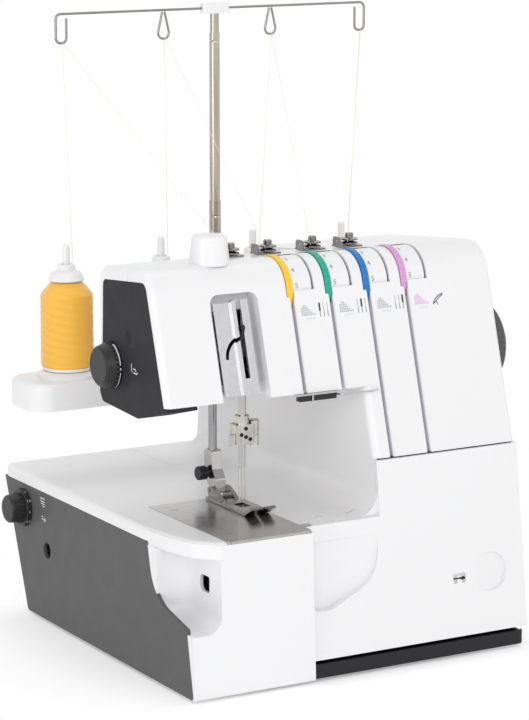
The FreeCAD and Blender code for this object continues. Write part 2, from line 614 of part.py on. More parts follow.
def head_pieces():
    """Dark end cover of the head with its chin, lamp, liners, guides and guard."""
    end = prism_x(HEAD_PANEL, 0.4, PANEL_THICK)
    chin = prism_x([(face_y(ARM_UNDER), ARM_UNDER), (face_y(233), 233, 1), (96, 219, 16),
                    (160, 222.5, 4), (ARM_REAR, 230, 3), (ARM_REAR, ARM_UNDER)], 0.4, 28)
    end = join([end, chin])
    y, z, r = PRESSURE_KNOB
    end = end.cut(rod_x(-1, 29, y, z, 5 + FIT))
    end = end.cut(Part.makeSphere(HEAD_DISH_R, V(2.0 - HEAD_DISH_R, 110, 284)))
    liners = []
    for i, x in enumerate(DIAL_X):
        low = channel_bottom(i)
        top = DIAL_Z - 4
        body = face_band(0.6, CHANNEL_DEEP - 0.1, low + 0.2, top, x + 0.4, x + 0.4 + CHANNEL_WIDE)
        groove = face_band(-1, CHANNEL_DEEP - 1.2, low - 1, top + 1, x + 1.2, x - 0.4 + CHANNEL_WIDE)
        clear = rod_x(x - 2, x + 9, DIAL_Y, DIAL_Z, DISC_R + 0.7)
        liners.append(body.cut(groove).cut(clear))
    x0, x1, z0, z1 = SLOT
    low = z0 - 2
    high = z1 - 8
    flat = face_band(GUARD_DEEP, GUARD_DEEP + 1, low, high, 58, 74.5)
    ridge = face_band(GUARD_DEEP - 3, GUARD_DEEP + 1, low, high + 2, 74, 77.6)
    right = face_band(GUARD_DEEP - 1, GUARD_DEEP, low, high + 2, 77, 90)
    foot = face_band(GUARD_DEEP - 0.5, SLOT_DEEP, low, low + 3, 60, 89)
    lever_slot = face_band(-5, SLOT_DEEP - 3, 252, z1 + 8, 78.2, 83.2)
    curve_x, curve_z, inner, outer = GUARD_CURVE
    curve = rod_y(0, 120, curve_x, curve_z, outer).cut(rod_y(-1, 121, curve_x, curve_z, inner))
    curve = curve.common(block(60, curve_x, 0, 120, curve_z, curve_z + 30))
    guard = join([flat, ridge, right, foot]).cut(lever_slot).cut(curve)
    strip = prism_z([(120, 42, 1), (162, 42, 1), (162, 50, 1), (120, 50, 1)], 234.6, 235.8)
    clip = prism_z([(134.4, 41.4, 0.5), (136.2, 41.4, 0.5), (136.2, 49, 0.5), (134.4, 49, 0.5)],
                   229.4, 234.6)
    bracket = join([strip, clip])
    slugs = [prism_z([(x0, 42.2, 1), (x1, 42.2, 1), (x1, 49, 1), (x0, 49, 1)], 229.8, 234.6)
             for x0, x1 in ((123, 134.4), (136.2, 159))]
    wire = bent_wire([V(160, 47, 235.2), V(160, 47, 232.4), V(164, 41.2, 232.4), V(194, 40.6, 232.8),
                      V(200, 43.0, 233.2)], 0.7, 1.4)
    lamp = prism_z([(148, 66, 3), (172, 66, 3), (172, 78, 3), (148, 78, 3)], 233.8, ARM_UNDER)
    cap = turned_z([(0, top_z(100) - 2), (17, top_z(100) - 2), (14.4, 366, 3.5), (0, 367.2)], 70, 100)
    cap = cap.cut(prism_x(upper_section(ARM_UNDER, ARM_REAR, 0), 0, BED_WIDTH))
    rollers = []
    for x, y in PRETENSION:
        rollers.append(pretension_guide(x, y))
    return {
        "head_end_cover": end,
        "channel_liners": Part.makeCompound(liners),
        "take_up_guard": guard,
        "lower_guide_wires": Part.makeCompound([bracket, wire]),
        "lower_guide_block": Part.makeCompound(slugs),
        "work_lamp": lamp,
        "head_top_cap": cap,
        "pretension_guides": Part.makeCompound(rollers),
    }


def pretension_guide(x, y):
    """Folded steel thread guide with a post and two discs on the arm top."""
    z = top_z(y - 8) + 0.02
    plate = prism_z([(x - 12, y - 8, 3), (x + 12, y - 8, 3), (x + 12, y + 8, 3), (x - 12, y + 8, 3)],
                    z, z + 1.2)
    ear = prism_x([(y - 8, z), (y - 8, z + 9, 3), (y + 4, z + 9, 3), (y + 4, z)], x - 12, x - 10.8)
    ear = ear.cut(rod_x(x - 14, x - 9, y - 2, z + 5.5, 1.4))
    post = rod_z(z + 1.2, z + 11, x + 2, y, 1.8)
    discs = turned_z([(1.8, z + 3.2), (7.5, z + 2.2), (7.5, z + 3.4), (3, z + 4.4),
                      (7.5, z + 5.4), (7.5, z + 6.6), (1.8, z + 5.6)], x + 2, y)
    nut = turned_z([(1.8, z + 7.2), (3.6, z + 7.2), (3.6, z + 10.6), (2.8, z + 11.4), (0, z + 11.4),
                    (0, z + 11), (1.8, z + 11)], x + 2, y)
    return join([plate, ear, post, discs, nut])


def dial_pieces():
    """Coloured tension discs and the white number drums that turn with them."""
    pieces = {}
    for x, name in zip(DIAL_X, DIAL_NAMES):
        edge = x + DISC_WIDE
        left = x - DISC_LEFT
        disc = turned_x([(left, 4.0), (left, DISC_R - 0.8), (left + 0.8, DISC_R), (edge - 0.8, DISC_R),
                         (edge, DISC_R - 0.8), (edge, 4.0)], DIAL_Y, DIAL_Z)
        disc = knurled(disc, left - 1, edge + 1, DIAL_Y, DIAL_Z, DISC_R + 0.5, 30, 1.0)
        drum = turned_x([(edge, 4.0), (edge, DRUM_R), (edge + DRUM_WIDE - 1, DRUM_R),
                         (edge + DRUM_WIDE, DRUM_R - 1), (edge + DRUM_WIDE, 23), (edge + 3, 23),
                         (edge + 3, 4.0)], DIAL_Y, DIAL_Z)
        pieces["tension_disc_" + name] = disc
        pieces["tension_drum_" + name] = drum
    return pieces


def knob_pieces():
    """Ribbed side knobs, each with its spindle, and the handwheel."""
    y, z, r = PRESSURE_KNOB
    pressure = turned_x([(-12.5, 0), (-12.5, r - 5), (-11, r - 3), (-3.2, r - 0.4), (-2.6, r), (-0.4, r),
                         (0, r - 0.4), (0, 5), (25, 5), (26, 4), (26, 0)], y, z)
    pressure = knurled(pressure, -14, -2.6, y, z, r + 0.2, 30, 1.3)
    y, z, r = FEED_KNOB
    feed = turned_x([(-17, 0), (-17, r - 2.4), (-15.6, r - 1), (-5, r), (-5, r + 2.9), (-4.4, r + 3.5),
                     (-0.4, r + 3.5), (-0.4, 5), (15, 5), (16, 4), (16, 0)], y, z)
    feed = knurled(feed, -18, -5.2, y, z, r + 0.4, 22, 1.3)
    y, z, r = LENGTH_DIAL
    far = BED_WIDTH + 12
    length = turned_x([(far, 0), (far, r - 2.2), (far - 1.2, r - 1), (BED_WIDTH + 0.4, r),
                       (BED_WIDTH + 0.4, 4), (BED_WIDTH - 7, 4), (BED_WIDTH - 8, 3),
                       (BED_WIDTH - 8, 0)], y, z)
    length = knurled(length, BED_WIDTH + 4, far + 1, y, z, r + 0.4, 24, 1.3)
    rim = BED_WIDTH + 0.6
    wheel = turned_x([(rim - 4, SHAFT_R), (rim - 4, HANDWHEEL_HUB), (rim, HANDWHEEL_HUB),
                      (rim, HANDWHEEL_R - 1.5), (rim + 1.5, HANDWHEEL_R), (rim + 14, HANDWHEEL_R),
                      (rim + 17, HANDWHEEL_R - 3), (rim + 22, 24, 6), (HANDWHEEL_FACE, 18, 5),
                      (HANDWHEEL_FACE, SHAFT_R)], SHAFT_Y, SHAFT_Z)
    wheel = knurled(wheel, rim - 1, rim + 15, SHAFT_Y, SHAFT_Z, HANDWHEEL_R + 1, 44, 1.7)
    return {"foot_pressure_knob": pressure, "differential_feed_knob": feed,
            "stitch_length_dial": length, "handwheel": wheel}


# Drive inside the arm, tower and base
BELT_X = (300.0, 308.0)
TIMING_X = (286.0, 294.0)
COLUMN = (212.0, 280.0, 128.0, 160.0)
TAKE_UP_PIVOT = (96.0, 270.0)
LOOPER_PIVOT = (90.0, 50.0)


def drive_pieces():
    """Main shaft, lower shaft, motor, pulleys, belts and the cast frame holding them."""
    shaft = rod_x(118, HANDWHEEL_FACE, SHAFT_Y, SHAFT_Z, SHAFT_R)
    crank = turned_x([(112, 0), (112, 10, 1), (118, 10, 1), (118, 0)], SHAFT_Y, SHAFT_Z)
    crank = crank.cut(rod_x(111, 119, SHAFT_Y, SHAFT_Z - 6, 2))
    def pulley(x0, x1, r, bore, y, z):
        flange = r + 4
        return turned_x([(x0 - 2, bore), (x0 - 2, flange), (x0 - 0.3, flange), (x0 - 0.3, r),
                         (x1 + 0.3, r), (x1 + 0.3, flange), (x1 + 2, flange), (x1 + 2, bore)], y, z)
    main = join([pulley(*BELT_X, MAIN_PULLEY_R, SHAFT_R, SHAFT_Y, SHAFT_Z),
                 pulley(*TIMING_X, TIMING_R, SHAFT_R, SHAFT_Y, SHAFT_Z)])
    lower = join([rod_x(126, 304, LOWER_Y, LOWER_Z, SHAFT_R),
                  pulley(*TIMING_X, TIMING_R, SHAFT_R, LOWER_Y, LOWER_Z),
                  turned_x([(126, 0), (126, 12, 1), (134, 12, 1), (134, 0)], LOWER_Y, LOWER_Z)])
    rotor = join([rod_x(292, 313, MOTOR_Y, MOTOR_Z, 3.0),
                  pulley(*BELT_X, MOTOR_PULLEY_R, 3.0, MOTOR_Y, MOTOR_Z)])
    motor = turned_x([(218, 0), (218, MOTOR_R, 3), (290, MOTOR_R, 3), (290, 12), (293, 12), (293, 3 + FIT),
                      (291.5, 3 + FIT), (291.5, 0)], MOTOR_Y, MOTOR_Z)
    motor = motor.cut(rod_x(290, 294, MOTOR_Y, MOTOR_Z, 3 + FIT))
    saddle = block(232, 276, MOTOR_Y - 34, MOTOR_Y + 34, TRAY_BOTTOM + 3, MOTOR_Z)
    saddle = saddle.cut(rod_x(230, 280, MOTOR_Y, MOTOR_Z, MOTOR_R))
    saddle = saddle.cut(block(240, 268, MOTOR_Y - 40, MOTOR_Y + 40, TRAY_BOTTOM + 10, MOTOR_Z + 1))
    drive_belt = belt_loop(BELT_X[0], BELT_X[1], (SHAFT_Y, SHAFT_Z), MAIN_PULLEY_R,
                           (MOTOR_Y, MOTOR_Z), MOTOR_PULLEY_R)
    timing_belt = belt_loop(TIMING_X[0], TIMING_X[1], (SHAFT_Y, SHAFT_Z), TIMING_R,
                            (LOWER_Y, LOWER_Z), TIMING_R)
    return {"main_shaft": join([shaft, crank, main]), "lower_shaft": lower, "motor_rotor": rotor,
            "motor": join([motor, saddle]), "belts": Part.makeCompound([drive_belt, timing_belt]),
            "cast_frame": cast_frame()}


def cast_frame():
    """Aluminium column and arm beam with bearing eyes and bar guides."""
    x0, x1, y0, y1 = COLUMN
    column = block(x0, x1, y0, y1, TRAY_BOTTOM + 3, 285)
    column = column.cut(block(x0 + 8, x1 - 8, y0 + 8, y1 + 1, 20, 120))
    column = column.cut(block(x0 + 8, x1 - 8, y0 + 8, y1 + 1, 135, 225))
    foot = prism_z([(x0 - 20, y0 - 20, 6), (x1, y0 - 20, 6), (x1, y1 + 12, 6), (x0 - 20, y1 + 12, 6)],
                   TRAY_BOTTOM + 3, TRAY_BOTTOM + 11)
    beam = prism_x([(y0, 240.5, 3), (y1, 240.5, 3), (y1, 279, 6), (y0, 279, 6)], 122, x1)
    parts = [column, foot, beam]
    for x in (150, 262):
        eye = rod_x(x, x + 12, SHAFT_Y, SHAFT_Z, SHAFT_R + 5)
        parts.append(join([eye, block(x, x + 12, SHAFT_Y, y0 + 1, SHAFT_Z - 8, SHAFT_Z + 8)]))
    for x in (160, 262):
        eye = rod_x(x, x + 12, LOWER_Y, LOWER_Z, SHAFT_R + 5)
        parts.append(join([eye, block(x, x + 12, LOWER_Y, y0 + 1, LOWER_Z - 8, LOWER_Z + 8)]))
    parts.append(block(160, x0 + 1, y0, y0 + 12, LOWER_Z - 20, LOWER_Z + 20))
    parts.append(join([rod_z(262, 276, NEEDLE_X, NEEDLE_Y, 7),
                       block(NEEDLE_X, 108, NEEDLE_Y - 6, 138, 267.5, 276),
                       block(104, 124, y0 + 1, 138, 267.5, 276)]))
    parts.append(join([rod_z(262, 276, NEEDLE_X, PRESSER_Y, 7),
                       block(NEEDLE_X, 124, PRESSER_Y - 6, PRESSER_Y + 6, 267.5, 276)]))
    for x in (157.5, 232.0):
        hanger = prism_x([(y0 + 1, 270), (y0 + 14, 270, 3), (y0 + 8, DIAL_Z - 4, 12),
                          (DIAL_Y + 6, DIAL_Z + 6, 8), (DIAL_Y - 7, DIAL_Z + 7, 6),
                          (DIAL_Y - 7, DIAL_Z - 8, 6), (y0 + 1, DIAL_Z - 10, 8)], x, x + 4)
        parts.append(hanger)
    parts.append(rod_x(DIAL_X[0] - 4, DIAL_X[-1] + 27, DIAL_Y, DIAL_Z, 4.0 - FIT))
    lever_y, lever_z = TAKE_UP_PIVOT
    parts.append(rod_x(72, NEEDLE_X - 2, lever_y, lever_z, 2.5))
    frame = join(parts)
    bores = [rod_x(100, 300, SHAFT_Y, SHAFT_Z, SHAFT_R + FIT),
             rod_x(100, 300, LOWER_Y, LOWER_Z, SHAFT_R + FIT),
             rod_z(200, 300, NEEDLE_X, NEEDLE_Y, BAR_R + FIT),
             rod_z(200, 300, NEEDLE_X, PRESSER_Y, PRESSER_R + FIT)]
    return Part.makeCompound([frame.cut(Part.makeCompound(bores)), looper_bracket()])


def looper_bracket():
    """Post in the bay with the pin that the looper swings on."""
    x, z = LOOPER_PIVOT
    floor = TRAY_BOTTOM + 3
    post = join([block(70, 110, 112.5, 122, floor, 97), block(60, 120, 104, 126, floor, floor + 6)])
    post = post.cut(block(78, 102, 110, 124, 62, 90))
    return join([post, rod_y(99, 113, x, z, 4)])


# Needle bar, presser foot, feed dog and looper
def stitch_pieces():
    bar = rod_z(204, 318, NEEDLE_X, NEEDLE_Y, BAR_R)
    clamp = prism_z([(NEEDLE_X - 9, NEEDLE_Y - 7, 2), (NEEDLE_X + 9, NEEDLE_Y - 7, 2),
                     (NEEDLE_X + 9, NEEDLE_Y + 6, 2), (NEEDLE_X - 9, NEEDLE_Y + 6, 2)], 187, 204)
    collar = rod_z(204, 211, NEEDLE_X, NEEDLE_Y, 6.2).cut(rod_z(203, 212, NEEDLE_X, NEEDLE_Y, BAR_R))
    hook = prism_y([(NEEDLE_X - 9, 196), (NEEDLE_X - 13, 196, 1), (NEEDLE_X - 13, 186, 1),
                    (NEEDLE_X - 11.6, 186), (NEEDLE_X - 11.6, 194), (NEEDLE_X - 9, 194)], 94, 98)
    post = turned_z([(0, 185), (4.2, 185), (4.2, 194), (3.4, 194), (3.4, 195.6), (4.2, 195.6), (4.2, 206.2),
                     (3.4, 207), (0, 207)], NEEDLE_X + 10.5, NEEDLE_Y - 2)
    clamp = join([clamp, collar, hook, post])
    needles = []
    screws = []
    for k in (-1, 0, 1):
        x = NEEDLE_X + NEEDLE_PITCH * k
        needle = turned_z([(0, NEEDLE_TIP), (0.45, NEEDLE_TIP + 4), (0.45, 164), (0.85, 167),
                           (0.85, 192), (0, 192)], x, NEEDLE_Y)
        needles.append(needle)
        clamp = clamp.cut(rod_z(180, 192, x, NEEDLE_Y, 0.85))
    for x, z in ((0, 200.6), (-4.2, 195.6), (0, 193.4), (4.2, 191.2)):
        clamp = clamp.cut(rod_y(NEEDLE_Y - 9, NEEDLE_Y - 3, NEEDLE_X + x, z, 1.7))
        screw = rod_y(NEEDLE_Y - 7.4, NEEDLE_Y - 3, NEEDLE_X + x, z, 1.7)
        screws.append(screw.cut(rod_y(NEEDLE_Y - 9, NEEDLE_Y - 6, NEEDLE_X + x, z, 0.9)))
    lever_y, lever_z = TAKE_UP_PIVOT
    lever = prism_x([(lever_y + 5, lever_z - 5, 4), (lever_y + 5, lever_z + 5, 4),
                     (lever_y - 20, lever_z + 10, 8), (lever_y - 31, lever_z + 26, 3),
                     (lever_y - 35, lever_z + 24, 2), (lever_y - 26, lever_z - 2, 8)], 79, 82)
    lever = lever.cut(rod_x(70, 90, lever_y - 31, lever_z + 22, 1.2))
    lever = lever.cut(rod_x(70, 90, lever_y, lever_z, 2.5 + FIT))
    return {"needle_bar": bar, "needle_clamp": clamp, "needles": Part.makeCompound(needles),
            "clamp_screws": Part.makeCompound(screws), "take_up_lever": lever}


def presser_pieces():
    """Presser bar, holder with thumb screw, hinged foot and the lifter at the back."""
    bar = rod_z(166, 322, NEEDLE_X, PRESSER_Y, PRESSER_R)
    pin_y, pin_z = FOOT_PIN
    holder = prism_x([(pin_y - 4, pin_z - 3, 2), (pin_y + 4, pin_z - 3, 2), (PRESSER_Y + 6, 150, 5),
                      (PRESSER_Y + 6, 172, 2), (PRESSER_Y - 6, 172, 2), (PRESSER_Y - 8, 156, 5),
                      (pin_y - 4, 148, 3)], NEEDLE_X - 5, NEEDLE_X + 5)
    holder = holder.cut(rod_z(166, 180, NEEDLE_X, PRESSER_Y, PRESSER_R))
    holder = holder.cut(rod_x(80, 120, pin_y, pin_z, 1.6 + FIT))
    holder = holder.cut(rod_x(NEEDLE_X - 7, NEEDLE_X, PRESSER_Y, HOLDER_SCREW_Z, 2.2))
    screw = turned_x([(NEEDLE_X - 15, 0), (NEEDLE_X - 15, 5.4), (NEEDLE_X - 14.4, 6), (NEEDLE_X - 7.6, 6),
                      (NEEDLE_X - 7, 5.4), (NEEDLE_X - 7, 4),
                      (NEEDLE_X - 5.2, 4), (NEEDLE_X - 5.2, 2.2), (NEEDLE_X, 2.2), (NEEDLE_X, 0)],
                     PRESSER_Y, HOLDER_SCREW_Z)
    screw = knurled(screw, NEEDLE_X - 16, NEEDLE_X - 7, PRESSER_Y, HOLDER_SCREW_Z, 6.2, 16, 0.7)
    low = PLATE_TOP + 0.35
    sole = prism_x([(64, low + 8.4), (62, low + 7), (74, low, 6), (pin_y + 1, low),
                    (pin_y + 1, low + 2.6), (75.5, low + 2.6, 6)], NEEDLE_X - 12, NEEDLE_X + 12)
    sole = sole.cut(prism_z([(NEEDLE_X - 5, 92, 1), (NEEDLE_X + 5, 92, 1), (NEEDLE_X + 5, 106, 1),
                             (NEEDLE_X - 5, 106, 1)], 120, 145))
    sole = sole.cut(prism_z([(NEEDLE_X - 1.2, 50), (NEEDLE_X + 1.2, 50), (NEEDLE_X + 1.2, 84, 1),
                             (NEEDLE_X - 1.2, 84, 1)], 120, 145))
    ears = []
    for x0, x1 in ((NEEDLE_X - 9, NEEDLE_X - 5.4), (NEEDLE_X + 5.4, NEEDLE_X + 9)):
        ears.append(prism_x([(118, low + 1), (pin_y + 1, low + 1), (pin_y + 3.2, pin_z - 1),
                             (pin_y + 3.2, pin_z + 3.2, 2.5), (pin_y - 5, pin_z + 3.2, 3),
                             (124, low + 6, 4)], x0, x1))
    sole = join([sole] + ears + [rod_x(NEEDLE_X - 9.8, NEEDLE_X + 9.8, pin_y, pin_z, 1.6)])
    lever = join([rod_y(161, 178, 118, 256, 5), rod_y(166, 178, 118, 256, 9),
                  prism_y([(118, 249.5), (166, 252, 3), (178, 258, 6), (172, 266, 5), (118, 262.5)],
                          169, 176)])
    return {"presser_bar": bar, "foot_holder": holder, "foot_screw": screw, "presser_foot": sole,
            "presser_lifter": lever}


def lower_pieces():
    """Feed dog under the plate and the swinging looper with its bracket."""
    dogs = []
    for side in (-8.0, 8.0):
        x = NEEDLE_X + side
        rail = block(x - 2.2, x + 2.2, 86, 124, 120.5, PLATE_TOP - 0.9)
        teeth = []
        for k in range(12):
            y = 87 + 3 * k
            teeth.append(prism_x([(y, PLATE_TOP - 1), (y + 2.4, PLATE_TOP - 1), (y + 2.4, PLATE_TOP - 0.1)],
                                 x - 2.2, x + 2.2))
        dogs.append(join([rail] + teeth))
    dogs.append(block(NEEDLE_X - 10.2, NEEDLE_X + 10.2, 114, 124, 117.5, 124))
    dogs.append(block(NEEDLE_X - 5, NEEDLE_X + 5, 112, 124, 98, 118))
    feed = join(dogs)
    arm = prism_y([(84, 42, 5), (96, 42, 5), (95, 66, 3), (88, 104, 3), (87.5, 112), (106, 115),
                   (106, 116), (84, 116.5), (81, 104, 4), (85, 66, 3)], 100.4, 103.4)
    x, z = LOOPER_PIVOT
    looper = join([arm, rod_y(99.6, 108, x, z, 7.5)]).cut(rod_y(90, 120, x, z, 4 + FIT))
    return {"feed_dog": feed, "looper": looper}


# Thread stand behind the machine
def stand_pieces():
    half = STAND_X + 22.0
    plan = [(STAND_X - half, STAND_Y - 32, 20), (STAND_X + half, STAND_Y - 32, 20),
            (STAND_X + half, STAND_Y + 32, 20), (STAND_X - half, STAND_Y + 32, 20)]
    shelf = prism_z(plan, SHELF_BOTTOM, SHELF_TOP)
    rims = edges_where(shelf, lambda p: abs(p.z - SHELF_TOP) < 1e-3)
    shelf = shelf.makeFillet(5.0, rims)
    inner = [(STAND_X - half + 3, STAND_Y - 29, 17), (STAND_X + half - 3, STAND_Y - 29, 17),
             (STAND_X + half - 3, STAND_Y + 29, 17), (STAND_X - half + 3, STAND_Y + 29, 17)]
    shelf = shelf.cut(prism_z(inner, SHELF_BOTTOM - 1, SHELF_TOP - 6))
    boss = rod_z(SHELF_BOTTOM, SHELF_TOP, POLE_X, STAND_Y, 10)
    shelf = join([shelf, boss])
    shelf = shelf.cut(rod_z(SHELF_BOTTOM + 3, SHELF_TOP + 1, POLE_X, STAND_Y, 5.25))
    pins = []
    cores = []
    winds = []
    for x in PIN_X:
        shelf = shelf.cut(rod_z(SHELF_TOP - 3, SHELF_TOP + 1, x, STAND_Y, 4))
        pins.append(turned_z([(0, SHELF_TOP - 3), (4, SHELF_TOP - 3), (4, SHELF_TOP), (27, SHELF_TOP),
                              (27, SHELF_TOP + 2.6), (22, SHELF_TOP + 5.6), (4, SHELF_TOP + 5.6),
                              (3.2, 336.5), (1.8, 338), (0, 338)], x, STAND_Y))
        top = SPOOL_BOTTOM + THREAD_HIGH
        cores.append(turned_z([(4.4, SPOOL_BOTTOM), (SPOOL_R - 2.3, SPOOL_BOTTOM),
                               (SPOOL_R - 1.5, SPOOL_BOTTOM + 0.8), (SPOOL_R - 1.5, SPOOL_BOTTOM + 3),
                               (9, SPOOL_BOTTOM + 3), (7, top - 2), (15.4, top - 0.2), (15.8, top + 0.8),
                               (13.4, top + 6), (12, top + 7.4), (8, top + 9), (8, top + 12.8),
                               (6.8, top + 14), (4.4, top + 14)], x, STAND_Y))
        winds.append(turned_z([(9, SPOOL_BOTTOM + 3), (SPOOL_R - 1.2, SPOOL_BOTTOM + 3),
                               (SPOOL_R, SPOOL_BOTTOM + 4.2), (SPOOL_R - 0.8, top - 24, 10),
                               (14, top - 1.4), (7.1, top - 2.4)], x, STAND_Y))
    lower = turned_z([(0, SHELF_BOTTOM + 3), (5.25, SHELF_BOTTOM + 3), (5.25, 352), (4.95, 353),
                      (5.25, 354), (5.25, POLE_LOWER_TOP, 0.4), (4.65 + FIT, POLE_LOWER_TOP),
                      (4.65 + FIT, SHELF_BOTTOM + 6), (0, SHELF_BOTTOM + 6)], POLE_X, STAND_Y)
    upper = turned_z([(0, 343), (4.65, 343), (4.65, 508), (4.35, 509), (4.65, 510),
                      (4.65, 516, 0.4), (4.0, 516), (4.0, POLE_UPPER_TOP), (0, POLE_UPPER_TOP)],
                     POLE_X, STAND_Y)
    return {"spool_shelf": shelf, "spool_pins": Part.makeCompound(pins),
            "spool_cores": Part.makeCompound(cores), "thread_windings": Part.makeCompound(winds),
            "pole_lower": lower, "pole_upper": upper, "guide_cap": guide_cap(),
            "guide_wire": guide_wire()}


def guide_cap():
    """Plastic cap that holds the guide bar across the top of the pole."""
    cap = prism_z([(POLE_X - 13, STAND_Y - 5.5, 3), (POLE_X + 13, STAND_Y - 5.5, 3),
                   (POLE_X + 13, STAND_Y + 5.5, 3), (POLE_X - 13, STAND_Y + 5.5, 3)],
                  GUIDE_BAR_Z - 4.5, GUIDE_BAR_Z + 4.5)
    cap = cap.cut(rod_z(GUIDE_BAR_Z - 5, POLE_UPPER_TOP, POLE_X, STAND_Y, 4.0))
    return cap.cut(rod_x(POLE_X - 20, POLE_X + 20, STAND_Y, GUIDE_BAR_Z, 1.1))


def guide_wire():
    """Steel bar with a hook at each end and two pigtail eyes."""
    first, eye_a, eye_b, last = HOOK_X
    y = STAND_Y
    bar = bent_wire([V(first + 5, y, GUIDE_HOOK_Z + 21), V(first + 5, y, GUIDE_HOOK_Z),
                     V(first - 5, y, GUIDE_HOOK_Z), V(first - 5, y, GUIDE_BAR_Z),
                     V(last + 5, y, GUIDE_BAR_Z), V(last + 5, y, GUIDE_HOOK_Z),
                     V(last - 5, y, GUIDE_HOOK_Z), V(last - 5, y, GUIDE_HOOK_Z + 21)], 1.1, 4.4)
    eyes = []
    for x in (eye_a, eye_b):
        start = GUIDE_BAR_Z - 1.6
        eyes.append(bent_wire([V(x - 1.2, y, start), V(x - 6.6, y, GUIDE_HOOK_Z),
                               V(x + 6.6, y, GUIDE_HOOK_Z), V(x + 1.2, y, start)], 1.0, 5.0))
    return Part.makeCompound([bar] + eyes)


def thread_pieces():
    """Strands from spool to guide bar, down to the arm, and along the channels."""
    rise = []
    fall = []
    run = []
    spool_top = SPOOL_BOTTOM + THREAD_HIGH + 15
    for i, x in enumerate(HOOK_X):
        pin = PIN_X[i]
        bottom = V(pin + 5.6, STAND_Y - 2, spool_top)
        hook = V(x, STAND_Y - 1.6, GUIDE_HOOK_Z + 1.0)
        rise.append(rod(bottom, hook, STRAND_R))
        px, py = PRETENSION[i]
        fall.append(rod(V(px - 5, py - 9, top_z(py) + 6), hook - V(0, 0.8, 0), STRAND_R))
        dial = DIAL_X[i] + 0.4 + CHANNEL_WIDE / 2
        low = channel_bottom(i) + 1
        high = DIAL_Z - 18
        run.append(rod(V(dial, face_y(low) + 5, low), V(dial, face_y(high) + 5, high), STRAND_R))
    return {"strands_spool_to_guide": Part.makeCompound(rise),
            "strands_guide_to_arm": Part.makeCompound(fall),
            "strands_in_channels": Part.makeCompound(run)}


def side_fittings():
    """Mains inlet and rocker switch on the right side."""
    y, z = INLET
    inlet = prism_x([(y - 14, z - 11, 3), (y + 14, z - 11, 3), (y + 14, z + 11, 3), (y - 14, z + 11, 3)],
                    BED_WIDTH - 16, BED_WIDTH - 0.2)
    inlet = inlet.cut(prism_x([(y - 10, z - 7, 2), (y + 10, z - 7, 2),
                               (y + 10, z + 7, 6), (y - 10, z + 7, 6)],
                              BED_WIDTH - 13, BED_WIDTH))
    blades = [block(BED_WIDTH - 13, BED_WIDTH - 3, y + s - 1, y + s + 1, z - 2.5, z + 2.5) for s in (-5, 5)]
    inlet = join([inlet] + blades)
    y, z = SWITCH
    frame = block(BED_WIDTH - 14, BED_WIDTH - 0.2, y - 9, y + 9, z - 13, z + 13)
    frame = frame.cut(block(BED_WIDTH - 12, BED_WIDTH, y - 7, y + 7, z - 11, z + 11))
    frame = join([frame, rod_y(y - 7, y + 7, BED_WIDTH - 5, z, 1.2)])
    rocker = prism_y([(BED_WIDTH - 6, z - 10, 1), (BED_WIDTH + 2.2, z - 9.4, 1), (BED_WIDTH - 0.6, z, 6),
                      (BED_WIDTH - 0.8, z + 10, 1), (BED_WIDTH - 8, z + 10, 1), (BED_WIDTH - 8, z, 6)],
                     y - 6.7, y + 6.7)
    rocker = rocker.cut(rod_y(y - 10, y + 10, BED_WIDTH - 5, z, 1.2 + FIT))
    return {"power_sockets": Part.makeCompound([inlet, frame]), "switch_rocker": rocker}


def all_pieces():
    front, rear = housings()
    pieces = {"front_housing": front, "rear_housing": rear, "bed_cover": bed_cover(),
              "needle_plate": needle_plate(), "front_cover": front_cover()}
    for group in (base_pieces(), head_pieces(), dial_pieces(),
                  knob_pieces(), drive_pieces(), stitch_pieces(), presser_pieces(), lower_pieces(),
                  stand_pieces(), thread_pieces(), side_fittings()):
        pieces.update(group)
    return pieces


os.makedirs("parts", exist_ok=True)
for node, shape in all_pieces().items():
    shape.translate(V(-MIDDLE_X, -BED_DEPTH / 2, 0))
    shape.exportStep("parts/" + node + ".step")
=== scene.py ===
import json
import math

import bpy
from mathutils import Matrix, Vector


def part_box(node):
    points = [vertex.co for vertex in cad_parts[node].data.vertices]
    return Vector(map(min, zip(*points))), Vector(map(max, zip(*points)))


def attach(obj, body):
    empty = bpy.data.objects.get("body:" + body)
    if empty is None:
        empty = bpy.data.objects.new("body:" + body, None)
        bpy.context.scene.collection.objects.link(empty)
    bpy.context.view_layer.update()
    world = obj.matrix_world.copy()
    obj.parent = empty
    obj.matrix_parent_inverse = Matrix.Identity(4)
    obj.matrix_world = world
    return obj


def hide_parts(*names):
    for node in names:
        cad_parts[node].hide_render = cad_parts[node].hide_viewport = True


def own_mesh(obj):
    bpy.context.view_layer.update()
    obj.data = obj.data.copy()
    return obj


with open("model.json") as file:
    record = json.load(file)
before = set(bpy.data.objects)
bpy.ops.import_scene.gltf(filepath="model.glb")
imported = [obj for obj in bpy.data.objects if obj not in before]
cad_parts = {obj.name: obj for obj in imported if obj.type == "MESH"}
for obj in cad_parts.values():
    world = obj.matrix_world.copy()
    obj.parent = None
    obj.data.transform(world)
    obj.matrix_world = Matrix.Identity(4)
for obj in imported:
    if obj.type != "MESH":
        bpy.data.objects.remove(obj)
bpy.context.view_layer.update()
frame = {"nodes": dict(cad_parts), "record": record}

MM = 0.001
BED_DEPTH = 357.0
SIDE_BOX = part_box("left_side_cover")
BED_CORNER = Vector((SIDE_BOX[0].x, SIDE_BOX[1].y - BED_DEPTH * MM, 0.0))

# Camera: the photograph's own view, as a 529 by 720 frame
CAMERA_AT = Vector((-1.0537, -1.9373, 0.713)) + BED_CORNER
CAMERA_AZIMUTH = math.radians(30.0)
CAMERA_DROP = math.radians(11.0)
LENS_MM = 142.5
SENSOR_MM = 36.0


def place(x, y, z):
    """Point in metres from millimetres counted from the bed's front left corner."""
    return Vector((x * MM, y * MM, z * MM)) + BED_CORNER


